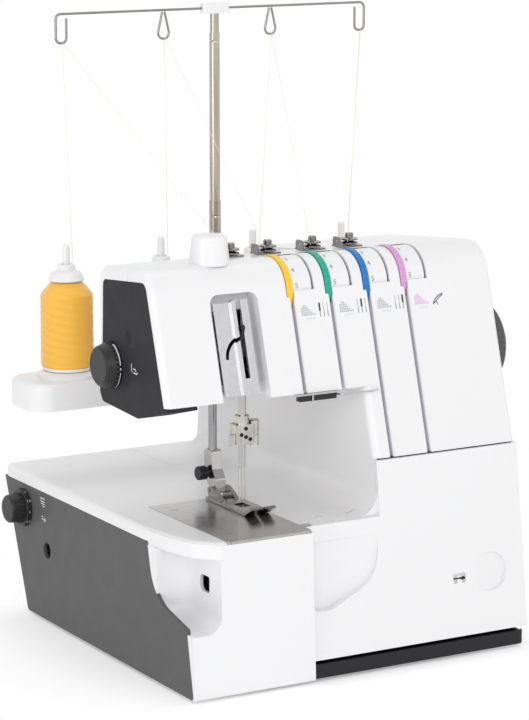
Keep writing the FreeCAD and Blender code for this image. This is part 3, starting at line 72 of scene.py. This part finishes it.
# Materials
def new_material(name):
    """New node material with its nodes, links and main shader."""
    mat = bpy.data.materials.new(name)
    mat.use_nodes = True
    return mat, mat.node_tree.nodes, mat.node_tree.links, mat.node_tree.nodes["Principled BSDF"]


def noise(nodes, links, scale, detail=3.0, stretch=None):
    """Noise in object space, stretched where a grain has a direction."""
    coord = nodes.new("ShaderNodeTexCoord")
    tex = nodes.new("ShaderNodeTexNoise")
    tex.inputs["Scale"].default_value = scale
    tex.inputs["Detail"].default_value = detail
    if stretch:
        mapping = nodes.new("ShaderNodeMapping")
        mapping.inputs["Scale"].default_value = stretch
        links.new(coord.outputs["Object"], mapping.inputs["Vector"])
        links.new(mapping.outputs["Vector"], tex.inputs["Vector"])
    else:
        links.new(coord.outputs["Object"], tex.inputs["Vector"])
    return tex


def spread(nodes, links, source, low, high):
    """Maps a texture value to a range."""
    ramp = nodes.new("ShaderNodeMapRange")
    ramp.inputs["To Min"].default_value = low
    ramp.inputs["To Max"].default_value = high
    links.new(source, ramp.inputs["Value"])
    return ramp.outputs["Result"]


def tint(nodes, links, source, first, second):
    """Blends two colours by a texture value."""
    ramp = nodes.new("ShaderNodeValToRGB")
    ramp.color_ramp.elements[0].color = (*first, 1.0)
    ramp.color_ramp.elements[1].color = (*second, 1.0)
    links.new(source, ramp.inputs["Fac"])
    return ramp.outputs["Color"]


def relief(nodes, links, source, shader, depth, strength):
    bump = nodes.new("ShaderNodeBump")
    bump.inputs["Distance"].default_value = depth
    bump.inputs["Strength"].default_value = strength
    links.new(source, bump.inputs["Height"])
    links.new(bump.outputs["Normal"], shader.inputs["Normal"])


def plastic(name, colour, rough, grain, depth, coat=0.0, vary=0.04, specular=0.5):
    """Moulded plastic: slight colour drift, uneven gloss and a fine texture."""
    mat, nodes, links, shader = new_material(name)
    drift = noise(nodes, links, 14.0)
    lower = tuple(c * (1 - vary) for c in colour)
    links.new(tint(nodes, links, drift.outputs["Fac"], lower, colour), shader.inputs["Base Color"])
    cloud = noise(nodes, links, 60.0)
    links.new(spread(nodes, links, cloud.outputs["Fac"], rough * 0.8, rough * 1.2),
              shader.inputs["Roughness"])
    fine = noise(nodes, links, grain, 2.0)
    relief(nodes, links, fine.outputs["Fac"], shader, depth, 0.25)
    shader.inputs["Specular IOR Level"].default_value = specular
    shader.inputs["Coat Weight"].default_value = coat
    shader.inputs["Coat Roughness"].default_value = 0.12
    return mat


def metal(name, colour, rough, stretch, depth, vary=0.06):
    """Steel or aluminium with fine lines along its working direction."""
    mat, nodes, links, shader = new_material(name)
    lines = noise(nodes, links, 40.0, 6.0, stretch)
    lower = tuple(c * (1 - vary) for c in colour)
    links.new(tint(nodes, links, lines.outputs["Fac"], lower, colour), shader.inputs["Base Color"])
    links.new(spread(nodes, links, lines.outputs["Fac"], rough * 0.6, rough * 1.4),
              shader.inputs["Roughness"])
    relief(nodes, links, lines.outputs["Fac"], shader, depth, 0.3)
    shader.inputs["Metallic"].default_value = 1.0
    return mat


def wound_thread(name, colour, groove_shade):
    """Cross wound thread: fine slanted lines, darker in the grooves of their relief as painted shade,
    with a silky gloss.
    """
    mat, nodes, links, shader = new_material(name)
    coord = nodes.new("ShaderNodeTexCoord")
    wave = nodes.new("ShaderNodeTexWave")
    wave.bands_direction = "Z"
    wave.inputs["Scale"].default_value = 420.0
    wave.inputs["Distortion"].default_value = 2.0
    links.new(coord.outputs["Object"], wave.inputs["Vector"])
    # Painted shade: the lines turn darker where the relief sinks between the windings.
    links.new(tint(nodes, links, wave.outputs["Fac"], groove_shade, colour), shader.inputs["Base Color"])
    relief(nodes, links, wave.outputs["Fac"], shader, 0.0002, 0.5)
    shader.inputs["Roughness"].default_value = 0.34
    shader.inputs["Sheen Weight"].default_value = 0.3
    return mat


def frosted_lens(name):
    """Frosted lens of the work lamp."""
    mat, nodes, links, shader = new_material(name)
    grain = noise(nodes, links, 900.0)
    links.new(spread(nodes, links, grain.outputs["Fac"], 0.25, 0.5), shader.inputs["Roughness"])
    relief(nodes, links, grain.outputs["Fac"], shader, 0.0002, 0.4)
    shader.inputs["Base Color"].default_value = (0.93, 0.93, 0.9, 1)
    shader.inputs["Transmission Weight"].default_value = 0.5
    return mat


MATERIALS = {
    "white_shell": plastic("white_shell", (0.83, 0.83, 0.84), 0.32, 900.0, 0.00002, 0.25, 0.015),
    "dark_cover": plastic("dark_cover", (0.1, 0.1, 0.101), 0.5, 1500.0, 0.0001, specular=0.25),
    "head_cover": plastic("head_cover", (0.026, 0.025, 0.029), 0.5, 1500.0, 0.0001, specular=0.12),
    "black_plastic": plastic("black_plastic", (0.018, 0.018, 0.019), 0.4, 1200.0, 0.00006,
                             specular=0.35),
    "black_screw": metal("black_screw", (0.05, 0.05, 0.055), 0.4, (1, 1, 6), 0.00004),
    "rubber": plastic("rubber", (0.03, 0.03, 0.03), 0.8, 700.0, 0.0002),
    "belt_rubber": plastic("belt_rubber", (0.025, 0.025, 0.025), 0.75, 500.0, 0.0002),
    "plate_steel": metal("plate_steel", (0.64, 0.63, 0.63), 0.22, (1, 12, 12), 0.00003, 0.5),
    "chrome": metal("chrome", (0.62, 0.61, 0.6), 0.14, (4, 4, 1), 0.00001, 0.3),
    "guard_metal": metal("guard_metal", (0.66, 0.66, 0.68), 0.25, (10, 10, 1), 0.00002, 0.15),
    # Painted shade: the channel liners get a grey darker than the shell, which stands for the shade
    # inside the thread channels.
    "liner_grey": plastic("liner_grey", (0.74, 0.73, 0.77), 0.45, 800.0, 0.00005),
    "cast_aluminium": metal("cast_aluminium", (0.55, 0.55, 0.56), 0.55, (1, 1, 1), 0.0002),
    "motor_paint": plastic("motor_paint", (0.1, 0.11, 0.13), 0.4, 500.0, 0.0001),
    "lamp_lens": frosted_lens("lamp_lens"),
    "thread_gold": wound_thread("thread_gold", (1.0, 0.58, 0.07), (0.9, 0.44, 0.03)),
    "dial_yellow": plastic("dial_yellow", (0.95, 0.58, 0.02), 0.35, 900.0, 0.00003, 0.2),
    "dial_green": plastic("dial_green", (0.0, 0.38, 0.25), 0.35, 900.0, 0.00003, 0.2),
    "dial_blue": plastic("dial_blue", (0.0, 0.17, 0.52), 0.35, 900.0, 0.00003, 0.2),
    "dial_violet": plastic("dial_violet", (0.68, 0.33, 0.64), 0.35, 900.0, 0.00003, 0.2),
}
NODE_FINISH = {
    "base_tray": plastic("tray_dark", (0.024, 0.024, 0.026), 0.5, 1500.0, 0.0001, specular=0.15),
    "pretension_guides": metal("guide_steel", (0.3, 0.29, 0.28), 0.2, (6, 6, 1), 0.00002, 0.4),
    "guide_wire": metal("wire_steel", (0.34, 0.33, 0.32), 0.2, (1, 8, 8), 0.00002, 0.3),
    # Painted light: both poles are one steel, the lower pole in a darker copy and the upper pole in a
    # lighter copy, so the stand darkens downwards.
    "pole_lower": metal("pole_steel_shaded", (0.55, 0.5, 0.45), 0.2, (9, 9, 0.4), 0.00002, 0.5),
    "pole_upper": metal("pole_steel_lit", (0.6, 0.55, 0.49), 0.2, (9, 9, 0.4), 0.00002, 0.5),
    "needle_clamp": metal("clamp_steel", (0.74, 0.72, 0.67), 0.14, (4, 4, 1.5), 0.00002, 0.6),
    "presser_foot": metal("foot_steel", (0.5, 0.49, 0.48), 0.15, (5, 1, 5), 0.00002, 0.6),
    "presser_bar": metal("bar_steel", (0.46, 0.45, 0.46), 0.15, (9, 9, 0.4), 0.00001, 0.5),
}
for part in frame["record"]["subparts"]:
    node = frame["nodes"][part["node"]]
    node.data.materials.clear()
    node.data.materials.append(NODE_FINISH.get(part["node"], MATERIALS[part["material_slot"]]))


# Printing: flat marks that lie on a surface
FACE_LEAN = 0.29
SEAM_Y = 28.0
SEAM_Z = 177.0
DIALS = {"yellow": 127.5, "green": 164.8, "blue": 202.1, "violet": 239.4}
DIAL_Y, DIAL_Z = 97.41, 315.82
DISC_WIDE = 4.6
DRUM_R = 27.6
INK_LIFT = 0.06
CELL_FILL = 0.76


def ink(name, colour):
    """Printed ink with slightly uneven colour and gloss."""
    mat, nodes, links, shader = new_material(name)
    grain = noise(nodes, links, 2500.0)
    lower = tuple(c * 0.9 for c in colour)
    links.new(tint(nodes, links, grain.outputs["Fac"], lower, colour), shader.inputs["Base Color"])
    links.new(spread(nodes, links, grain.outputs["Fac"], 0.4, 0.6), shader.inputs["Roughness"])
    return mat


INKS = {
    "grey": ink("ink_grey", (0.2, 0.21, 0.22)),
    "pale": ink("ink_pale", (0.5, 0.51, 0.52)),
    "black": ink("ink_black", (0.03, 0.03, 0.035)),
    "white": ink("ink_white", (0.8, 0.8, 0.8)),
    "pink": ink("ink_pink", (0.76, 0.5, 0.74)),
}


def piece(name, verts, faces, material, body, slot, smooth=False):
    """Mesh piece in the frame that rides on a body."""
    mesh = bpy.data.meshes.new(name)
    mesh.from_pydata([tuple(v) for v in verts], [], faces)
    mesh.update()
    mesh.materials.append(material)
    for face in mesh.polygons:
        face.use_smooth = smooth
    obj = bpy.data.objects.new(name, mesh)
    bpy.context.collection.objects.link(obj)
    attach(obj, body)
    return obj


def letters(text, size):
    """Flat outline of a text as (points, faces), centred, in millimetres."""
    curve = bpy.data.curves.new("letters", "FONT")
    curve.body = text
    curve.size = size
    curve.align_x = "CENTER"
    curve.align_y = "CENTER"
    curve.resolution_u = 3
    obj = bpy.data.objects.new("letters", curve)
    bpy.context.collection.objects.link(obj)
    bpy.context.view_layer.update()
    mesh = bpy.data.meshes.new_from_object(obj.evaluated_get(bpy.context.evaluated_depsgraph_get()))
    points = [v.co.copy() for v in mesh.vertices]
    faces = [tuple(f.vertices) for f in mesh.polygons]
    bpy.data.objects.remove(obj)
    bpy.data.curves.remove(curve)
    bpy.data.meshes.remove(mesh)
    return points, faces


def strokes(lines, width):
    """Quads along (u, v) strokes of one width, as (points, faces)."""
    points, faces = [], []
    for line in lines:
        for (u0, v0), (u1, v1) in zip(line, line[1:]):
            along = Vector((u1 - u0, v1 - v0))
            side = Vector((-along.y, along.x)).normalized() * width / 2
            start = len(points)
            for u, v, s in ((u0, v0, -1), (u1, v1, -1), (u1, v1, 1), (u0, v0, 1)):
                points.append(Vector((u + side.x * s, v + side.y * s, 0)))
            faces.append((start, start + 1, start + 2, start + 3))
    return points, faces


def face_y(z):
    """Leaning front face at a height."""
    return SEAM_Y + FACE_LEAN * (z - SEAM_Z)


def on_face(x, z):
    """Maps flat (u, v) to the leaning front face around a point."""
    return lambda p: place(x + p.x, face_y(z + p.y) - INK_LIFT, z + p.y)


def on_barrel(x, centre, radius, turn):
    """Maps flat (u, v) round a turned part; turn counts from the front upwards."""
    def at(p):
        angle = turn + p.y / radius
        r = radius + INK_LIFT
        return place(x + p.x, centre[0] - r * math.cos(angle), centre[1] + r * math.sin(angle))
    return at


def on_left(x, y, z):
    """Maps flat (u, v) to a left side panel, read from the left with the front to the right."""
    return lambda p: place(x - INK_LIFT, y - p.x, z + p.y)


def print_mark(name, marks, at, colour, body, slot="black_plastic"):
    points, faces = marks
    piece(name, [at(p) for p in points], faces, INKS[colour], body, slot)


def cells(columns, size):
    """Columns of small square cells, as (points, faces)."""
    points, faces = [], []
    side = size * CELL_FILL
    corners = ((0, 0), (side, 0), (side, side), (0, side))
    for column, count in enumerate(columns):
        for row in range(count):
            u, v, start = column * size, row * size, len(points)
            points += [Vector((u + a, v + b, 0)) for a, b in corners]
            faces.append((start, start + 1, start + 2, start + 3))
    return points, faces


# Signs below the dials, in millimetres from the corner of the stair
STAIR = (4, 5, 5, 4, 3, 2, 1, 1)
STAIR_CELL = 1.75
SIGN_Z = 297.6
SIGN_RIGHT = 9.5
NUMBER_SIZE = 6.2
NUMBER_RIGHT = 4.2
NUMBER_STEP = math.radians(29)
NUMBER_FOUR = math.radians(42)
ROW_COUNT, ROW_LEFT, ROW_PITCH = 5, 4.4, 1.9
ROW_TOP, ROW_LOW, ROW_WIDE = -1.6, -3.4, 0.45
NEEDLE_LEFT, NEEDLE_PITCH = 18.0, 3.7
SHANK_TOP, SHANK_LOW, SHANK_WIDE, CHOSEN_WIDE = 9.4, 2.8, 0.8, 1.7
BLADE_TOP, BLADE_LOW, BLADE_WIDE = 2.6, -2.0, 0.7
LOOPER_SIGN = [[(18.0, -1.0), (20.0, 2.6), (23.4, 5.2), (28.4, 7.2)],
               [(28.4, 7.2), (28.2, 5.9), (23.8, 3.6), (21.4, 1.4)],
               [(18.0, -1.0), (19.4, 0.2), (21.4, 1.4), (22.6, -1.8)]]


def needle_lines(top, low):
    """Upright stroke at each of the three needles of a sign."""
    places = [NEEDLE_LEFT + NEEDLE_PITCH * k for k in range(3)]
    return [[(u, top), (u, low)] for u in places]


def add_dial_numbers(name, x):
    """Numbers 0 to 9 round a drum."""
    for number in range(10):
        turn = NUMBER_FOUR + (4 - number) * NUMBER_STEP
        at = on_barrel(x + DISC_WIDE + NUMBER_RIGHT, (DIAL_Y, DIAL_Z), DRUM_R, turn)
        print_mark("number_%s_%d" % (name, number), letters(str(number), NUMBER_SIZE), at, "grey",
                   "dial_" + name)


def add_dial_printing():
    """Numbers round each drum and a stitch pictogram below it."""
    for order, (name, x) in enumerate(DIALS.items()):
        add_dial_numbers(name, x)
        at = on_face(x + SIGN_RIGHT, SIGN_Z)
        colour = "pink" if name == "violet" else "pale"
        print_mark("stair_" + name, cells(STAIR, STAIR_CELL), at, colour, "machine")
        places = [ROW_LEFT + ROW_PITCH * k for k in range(ROW_COUNT)]
        rows = [[(u, ROW_TOP), (u, ROW_LOW)] for u in places]
        print_mark("rows_" + name, strokes(rows, ROW_WIDE), at, colour, "machine")
        if name == "violet":
            print_mark("looper_sign", strokes(LOOPER_SIGN, SHANK_WIDE), at, "black", "machine")
            continue
        blades = needle_lines(BLADE_TOP, BLADE_LOW)
        print_mark("blades_" + name, strokes(blades, BLADE_WIDE), at, "grey", "machine")
        shanks = needle_lines(SHANK_TOP, SHANK_LOW)
        chosen = shanks.pop(order)
        print_mark("shanks_" + name, strokes(shanks, SHANK_WIDE), at, "pale", "machine")
        print_mark("chosen_" + name, strokes([chosen], CHOSEN_WIDE), at, "black", "machine")


def barrel_band(first, last, start_wide, end_wide, steps):
    """Tapering band round a barrel of radius one, as rows of (u, turn) quads."""
    points, faces = [], []
    for k in range(steps + 1):
        share = k / steps
        half = (start_wide + (end_wide - start_wide) * share) / 2
        turn = math.radians(first + (last - first) * share)
        points += [Vector((-half, turn, 0)), Vector((half, turn, 0))]
        if k:
            faces.append((2 * k - 2, 2 * k - 1, 2 * k + 1, 2 * k))
    return points, faces


# Marks of the two left knobs: centres as (y, z), bands as (first, last, widths, steps) in degrees
PRESSURE_KNOB = (143.0, 256.0)
PRESSURE_RIM, PRESSURE_RIM_X = 20.0, -1.5
PRESSURE_BANDS = {"thick": (72, 9, 1.8, 0.8, 20), "dot": (2.4, -2.4, 1.2, 1.2, 2),
                  "thin": (-9, -62, 0.7, 0.5, 16)}
FEED_KNOB = (318.0, 97.0)
FEED_RIM, FEED_RIM_X = 17.0, -2.4
FEED_NUMBERS = {"2": 66, "1.5": 31, "1": -4, "0.7": -39}
FEED_NUMBER_SIZE = 3.1
FOOT_SIGN_AT, FOOT_SIGN_WIDE = (0.4, 102, 259), 0.9
FOOT_SIGN = [[(-5, 4.5), (-5, -1.5), (-1, -3)], [(-4, -2.2), (4, -3.2), (6, -1.6)],
             [(-2, 0.6), (2, 0.2), (3.4, -1.4)]]
FEED_SIGN_AT, FEED_ARROW_AT, FEED_SIGN_WIDE = (0, 280, 109), (0, 278, 94), 0.8
FEED_SIGN = [[(-4.5, 3), (-3, 4.5), (-1.5, 3), (0, 4.5), (1.5, 3), (3, 4.5), (4.5, 3)],
             [(-4.5, 1), (4.5, 1)], [(-3, -1), (4.5, -1)], [(0, -3), (4.5, -3)]]
FEED_ARROW = [[(-4, 0), (4, 0)], [(1.6, 2), (4, 0), (1.6, -2)], [(-4, 2.4), (-1, 2.4)]]


def add_side_printing():
    """Marks on the rims of the two left knobs and signs beside them."""
    for name, band in PRESSURE_BANDS.items():
        points, faces = barrel_band(*band)
        points = [Vector((p.x, p.y * PRESSURE_RIM, 0)) for p in points]
        at = on_barrel(PRESSURE_RIM_X, PRESSURE_KNOB, PRESSURE_RIM, 0.0)
        print_mark("pressure_" + name, (points, faces), at, "white", "pressure_knob")
    for number, turn in FEED_NUMBERS.items():
        at = on_barrel(FEED_RIM_X, FEED_KNOB, FEED_RIM, math.radians(turn))
        print_mark("feed_" + number.replace(".", "_"), letters(number, FEED_NUMBER_SIZE), at, "white",
                   "feed_knob")
    for name, lines, wide, at in (("foot_sign", FOOT_SIGN, FOOT_SIGN_WIDE, FOOT_SIGN_AT),
                                  ("feed_sign", FEED_SIGN, FEED_SIGN_WIDE, FEED_SIGN_AT),
                                  ("feed_arrow", FEED_ARROW, FEED_SIGN_WIDE, FEED_ARROW_AT)):
        print_mark(name, strokes(lines, wide), on_left(*at), "white", "machine")


# Thread: places of pins, hooks and guides, and the wound package
STAND_Y = 276.0
PIN_PITCH, PIN_MIDDLE = 93.7, 165.0
PIN_X = [PIN_MIDDLE + PIN_PITCH * (i - 1.5) for i in range(4)]
HOOK_X = (22.5, 122.0, 230.0, 323.5)
GUIDE_X = (103.0, 139.0, 183.0, 220.0)
GUIDE_Y, GUIDE_LEFT = 118.0, 5.0
SPOOL_BOTTOM, SPOOL_R, THREAD_HIGH = 228.0, 23.5, 79.0
PACKAGE_FOOT, PACKAGE_HEAD = 3.0, 1.6
PACKAGE_ROWS, PACKAGE_SIDES = 150, 96
PACKAGE_CLEAR, PACKAGE_TAPER = 0.3, 0.4
FOOT_HIGH, FOOT_ROUND = 2.0, 1.5
SHOULDER_HIGH, SHOULDER_DEEP, SHOULDER_CURVE = 11.0, 9.0, 1.15
# Ridges as (height, starts round the package, turn in radians per millimetre of height)
RIDGES = ((0.16, 2, 5.2), (0.12, -3, 4.3))
CORE_RISE = 15.0
STRAND_R = 0.16
HOOK_Z = 514.0
RISE_RIGHT, RISE_FRONT = 5.6, 2.0
RISE_HOOK_Y, FALL_HOOK_Y = 1.6, 2.4
CHANNEL_RIGHT, CHANNEL_DEEP, CHANNEL_TOP = 2.7, 5.0, 297.0
ARM_CHANNEL_LOW, TOWER_CHANNEL_LOW = 237.0, 178.0
TOWER_DIALS_FROM = 190.0


def tube(points, radius, sides=6):
    """Round tube along points, as (verts, faces)."""
    verts, faces = [], []
    for i, p in enumerate(points):
        ahead = points[min(i + 1, len(points) - 1)] - points[max(i - 1, 0)]
        frame_z = ahead.normalized()
        frame_x = frame_z.orthogonal().normalized()
        frame_y = frame_z.cross(frame_x)
        for k in range(sides):
            turn = 2 * math.pi * k / sides
            verts.append(p + (frame_x * math.cos(turn) + frame_y * math.sin(turn)) * radius)
    for i in range(len(points) - 1):
        for k in range(sides):
            a, b = i * sides + k, i * sides + (k + 1) % sides
            faces.append((a, b, b + sides, a + sides))
    faces.append(tuple(reversed(range(sides))))
    faces.append(tuple(range((len(points) - 1) * sides, len(points) * sides)))
    return verts, faces


def gather(groups):
    """Joins several (verts, faces) into one."""
    verts, faces = [], []
    for some_verts, some_faces in groups:
        start = len(verts)
        verts += some_verts
        faces += [tuple(i + start for i in f) for f in some_faces]
    return verts, faces


def package_radius(z, bottom, top):
    """Slightly tapered package with a rounded foot and a sloped shoulder."""
    share = (z - bottom) / (top - bottom)
    shoulder = max(0.0, (z - top + SHOULDER_HIGH) / SHOULDER_HIGH)
    edge = min(1.0, (z - bottom) / FOOT_HIGH)
    side = SPOOL_R - PACKAGE_CLEAR - PACKAGE_TAPER * share
    return side - SHOULDER_DEEP * shoulder ** SHOULDER_CURVE - FOOT_ROUND * (1 - edge) ** 2


def wound_package(x):
    """Cross wound thread package: a turned form with slanted ridges both ways."""
    bottom = SPOOL_BOTTOM + PACKAGE_FOOT
    top = SPOOL_BOTTOM + THREAD_HIGH - PACKAGE_HEAD
    rows, sides = PACKAGE_ROWS, PACKAGE_SIDES
    verts, faces = [], []
    for i in range(rows + 1):
        z = bottom + (top - bottom) * i / rows
        radius = package_radius(z, bottom, top)
        for k in range(sides):
            turn = 2 * math.pi * k / sides
            r = radius + sum(high * math.sin(turn * starts + z * pitch) for high, starts, pitch in RIDGES)
            verts.append(place(x + r * math.cos(turn), STAND_Y + r * math.sin(turn), z))
    for i in range(rows):
        for k in range(sides):
            a, b = i * sides + k, i * sides + (k + 1) % sides
            faces.append((a, b, b + sides, a + sides))
    faces.append(tuple(reversed(range(sides))))
    faces.append(tuple(range(rows * sides, (rows + 1) * sides)))
    return verts, faces


def strand(points):
    """Single thread through points."""
    return tube(points, STRAND_R * MM)


def add_packages():
    package = piece("thread_packages", *gather([wound_package(x) for x in PIN_X]),
                    MATERIALS["thread_gold"], "machine", "thread_gold", smooth=True)
    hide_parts("thread_windings")


def add_stand_strands(pale):
    """Threads up to the hooks of the stand and down to the arm."""
    spool_top = SPOOL_BOTTOM + THREAD_HIGH + CORE_RISE
    arm_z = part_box("strands_guide_to_arm")[0].z / MM
    rise, fall = [], []
    for pin, hook, guide in zip(PIN_X, HOOK_X, GUIDE_X):
        rise.append(strand([place(pin + RISE_RIGHT, STAND_Y - RISE_FRONT, spool_top),
                            place(hook, STAND_Y - RISE_HOOK_Y, HOOK_Z)]))
        fall.append(strand([place(guide - GUIDE_LEFT, GUIDE_Y, arm_z),
                            place(hook, STAND_Y - FALL_HOOK_Y, HOOK_Z)]))
    for piece_name, node, tubes, low in (
            ("thread_spool_to_guide", "strands_spool_to_guide", rise, spool_top),
            ("thread_guide_to_arm", "strands_guide_to_arm", fall, arm_z)):
        lines = piece(piece_name, *gather(tubes), pale, "machine", "thread_gold", smooth=True)
        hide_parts(node)
        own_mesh(lines)


def add_channel_strands(pale):
    """Threads that run down in the channels of the front face."""
    run = []
    for dial in DIALS.values():
        low = ARM_CHANNEL_LOW if dial < TOWER_DIALS_FROM else TOWER_CHANNEL_LOW
        run.append(strand([place(dial + CHANNEL_RIGHT, face_y(z) + CHANNEL_DEEP, z)
                           for z in (low, CHANNEL_TOP)]))
    lines = piece("thread_in_channels", *gather(run), pale, "machine", "thread_gold", smooth=True)
    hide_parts("strands_in_channels")


NEEDLE_R, THREAD_AHEAD = 0.85, 0.65
THREAD_ABOVE_POINT, THREAD_BELOW_SHANK = 4.0, 6.0


def add_needle_threads(pale):
    """Thread along the front of each needle."""
    low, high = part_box("needles")
    middle = (low + high) / 2
    pitch = (high.x - low.x) / 2 - NEEDLE_R * MM
    heights = (low.z + THREAD_ABOVE_POINT * MM, high.z - THREAD_BELOW_SHANK * MM)
    lines = []
    for k in (-1, 0, 1):
        at = Vector((middle.x + pitch * k, middle.y - THREAD_AHEAD * MM, 0))
        lines.append(strand([at + Vector((0, 0, z)) for z in heights]))
    piece("needle_threads", *gather(lines), pale, "needle_unit", "thread_gold", smooth=True)


def add_thread():
    add_packages()
    pale = plastic("strand", (0.9, 0.82, 0.62), 0.5, 3000.0, 0.00005)
    add_stand_strands(pale)
    add_channel_strands(pale)
    add_needle_threads(pale)


# Painted shade: a thin black arrow shaped sheet in the latch window of the front cover stands for the
# shade in its slit, outline as (x, z)
COVER_FRONT, COVER_LOW, COVER_SLOPE = 5.0, 18.3, 0.135
SLIT_SHADE_DEEP = 1.2
SLIT_SHADE = ((257.3, 67.1), (262.4, 67.2), (265.6, 66.2), (268.4, 66.7), (269.3, 67.6), (267.6, 68.8),
          (262.4, 68.3), (257.3, 68.0))


def on_cover(x, z, deep):
    """Point at a depth behind the leaning surface of the front cover."""
    return place(x, COVER_FRONT + COVER_SLOPE * (z - COVER_LOW) + deep, z)


def add_latch_slider():
    """Black arrow shaped sheet, flush with the leaning cover, painted shade of the slit."""
    verts = [on_cover(x, z, deep) for deep in (-INK_LIFT, SLIT_SHADE_DEEP) for x, z in SLIT_SHADE]
    count = len(SLIT_SHADE)
    faces = [tuple(range(count)), tuple(reversed(range(count, 2 * count)))]
    faces += [(k + count, (k + 1) % count + count, (k + 1) % count, k) for k in range(count)]
    piece("latch_slit_shade", verts, faces, MATERIALS["black_plastic"], "cover", "black_plastic")


add_dial_printing()
add_side_printing()
add_thread()
add_latch_slider()


# Studio: lamps as (place, size, watts), all aimed at one point
LAMP_AIM = (0, 0, 0.2)
LAMPS = {"key": ((-0.9, -2.1, 1.3), (1.8, 1.4), 15.5), "fill": ((1.9, -1.2, 1.1), (1.4, 1.4), 5),
         "top": ((0.2, 0.5, 2.4), (1.8, 1.8), 9), "side": ((-2.0, -0.7, 0.5), (1.0, 0.8), 6)}
FLOOR_SIZE = 12.0
FLOOR_FADE = (0.17, 0.34)
FLOOR_GLOW = 0.32
WORLD_LIGHT = 0.64


def add_light(name, at, size, watts):
    data = bpy.data.lights.new(name, "AREA")
    data.shape = "RECTANGLE"
    data.size, data.size_y = size
    data.energy = watts
    lamp = bpy.data.objects.new(name, data)
    lamp.location = at
    lamp.rotation_euler = (Vector(LAMP_AIM) - Vector(at)).to_track_quat("-Z", "Y").to_euler()
    bpy.context.collection.objects.link(lamp)


def add_camera():
    data = bpy.data.cameras.new("camera")
    data.sensor_fit = "VERTICAL"
    data.sensor_height = SENSOR_MM
    data.lens = LENS_MM
    camera = bpy.data.objects.new("camera", data)
    camera.location = CAMERA_AT
    flat = math.cos(CAMERA_DROP)
    look = Vector((math.sin(CAMERA_AZIMUTH) * flat, math.cos(CAMERA_AZIMUTH) * flat,
                   -math.sin(CAMERA_DROP)))
    camera.rotation_euler = look.to_track_quat("-Z", "Y").to_euler()
    bpy.context.collection.objects.link(camera)
    bpy.context.scene.camera = camera


def seen_white(nodes, links):
    """1 for rays that show the background directly, in metal or through glass."""
    path = nodes.new("ShaderNodeLightPath")
    first = nodes.new("ShaderNodeMath")
    first.operation = "MAXIMUM"
    links.new(path.outputs["Is Camera Ray"], first.inputs[0])
    links.new(path.outputs["Is Glossy Ray"], first.inputs[1])
    second = nodes.new("ShaderNodeMath")
    second.operation = "MAXIMUM"
    links.new(first.outputs[0], second.inputs[0])
    links.new(path.outputs["Is Transmission Ray"], second.inputs[1])
    return second.outputs[0]


def add_floor():
    """Pale floor that keeps the shadow near the object and runs out to plain white."""
    bpy.ops.mesh.primitive_plane_add(size=FLOOR_SIZE, location=(0, 0, 0))
    floor = bpy.context.object
    floor.name = "floor"
    mat = bpy.data.materials.new("floor")
    mat.use_nodes = True
    nodes, links = mat.node_tree.nodes, mat.node_tree.links
    nodes.clear()
    out = nodes.new("ShaderNodeOutputMaterial")
    matte = nodes.new("ShaderNodeBsdfDiffuse")
    matte.inputs["Color"].default_value = (0.8, 0.8, 0.8, 1)
    glow = nodes.new("ShaderNodeEmission")
    glow.inputs["Strength"].default_value = FLOOR_GLOW
    near = nodes.new("ShaderNodeAddShader")
    links.new(matte.outputs[0], near.inputs[0])
    links.new(glow.outputs[0], near.inputs[1])
    white = nodes.new("ShaderNodeEmission")
    coord = nodes.new("ShaderNodeTexCoord")
    far = nodes.new("ShaderNodeVectorMath")
    far.operation = "LENGTH"
    links.new(coord.outputs["Object"], far.inputs[0])
    fade = nodes.new("ShaderNodeMapRange")
    fade.interpolation_type = "SMOOTHSTEP"
    fade.inputs["From Min"].default_value = FLOOR_FADE[0]
    fade.inputs["From Max"].default_value = FLOOR_FADE[1]
    links.new(far.outputs["Value"], fade.inputs["Value"])
    share = nodes.new("ShaderNodeMath")
    share.operation = "MULTIPLY"
    links.new(fade.outputs["Result"], share.inputs[0])
    links.new(seen_white(nodes, links), share.inputs[1])
    both = nodes.new("ShaderNodeMixShader")
    links.new(share.outputs[0], both.inputs[0])
    links.new(near.outputs[0], both.inputs[1])
    links.new(white.outputs[0], both.inputs[2])
    links.new(both.outputs[0], out.inputs["Surface"])
    floor.data.materials.append(mat)


def add_world():
    world = bpy.data.worlds.new("studio")
    world.use_nodes = True
    nodes, links = world.node_tree.nodes, world.node_tree.links
    back = nodes["Background"]
    back.inputs["Color"].default_value = (1, 1, 1, 1)
    level = nodes.new("ShaderNodeMapRange")
    level.inputs["To Min"].default_value = WORLD_LIGHT
    level.inputs["To Max"].default_value = 1.0
    links.new(seen_white(nodes, links), level.inputs["Value"])
    links.new(level.outputs["Result"], back.inputs["Strength"])
    bpy.context.scene.world = world


bpy.context.scene.view_settings.view_transform = "Standard"
add_camera()
add_floor()
add_world()
for lamp_name, lamp_facts in LAMPS.items():
    add_light(lamp_name, *lamp_facts)
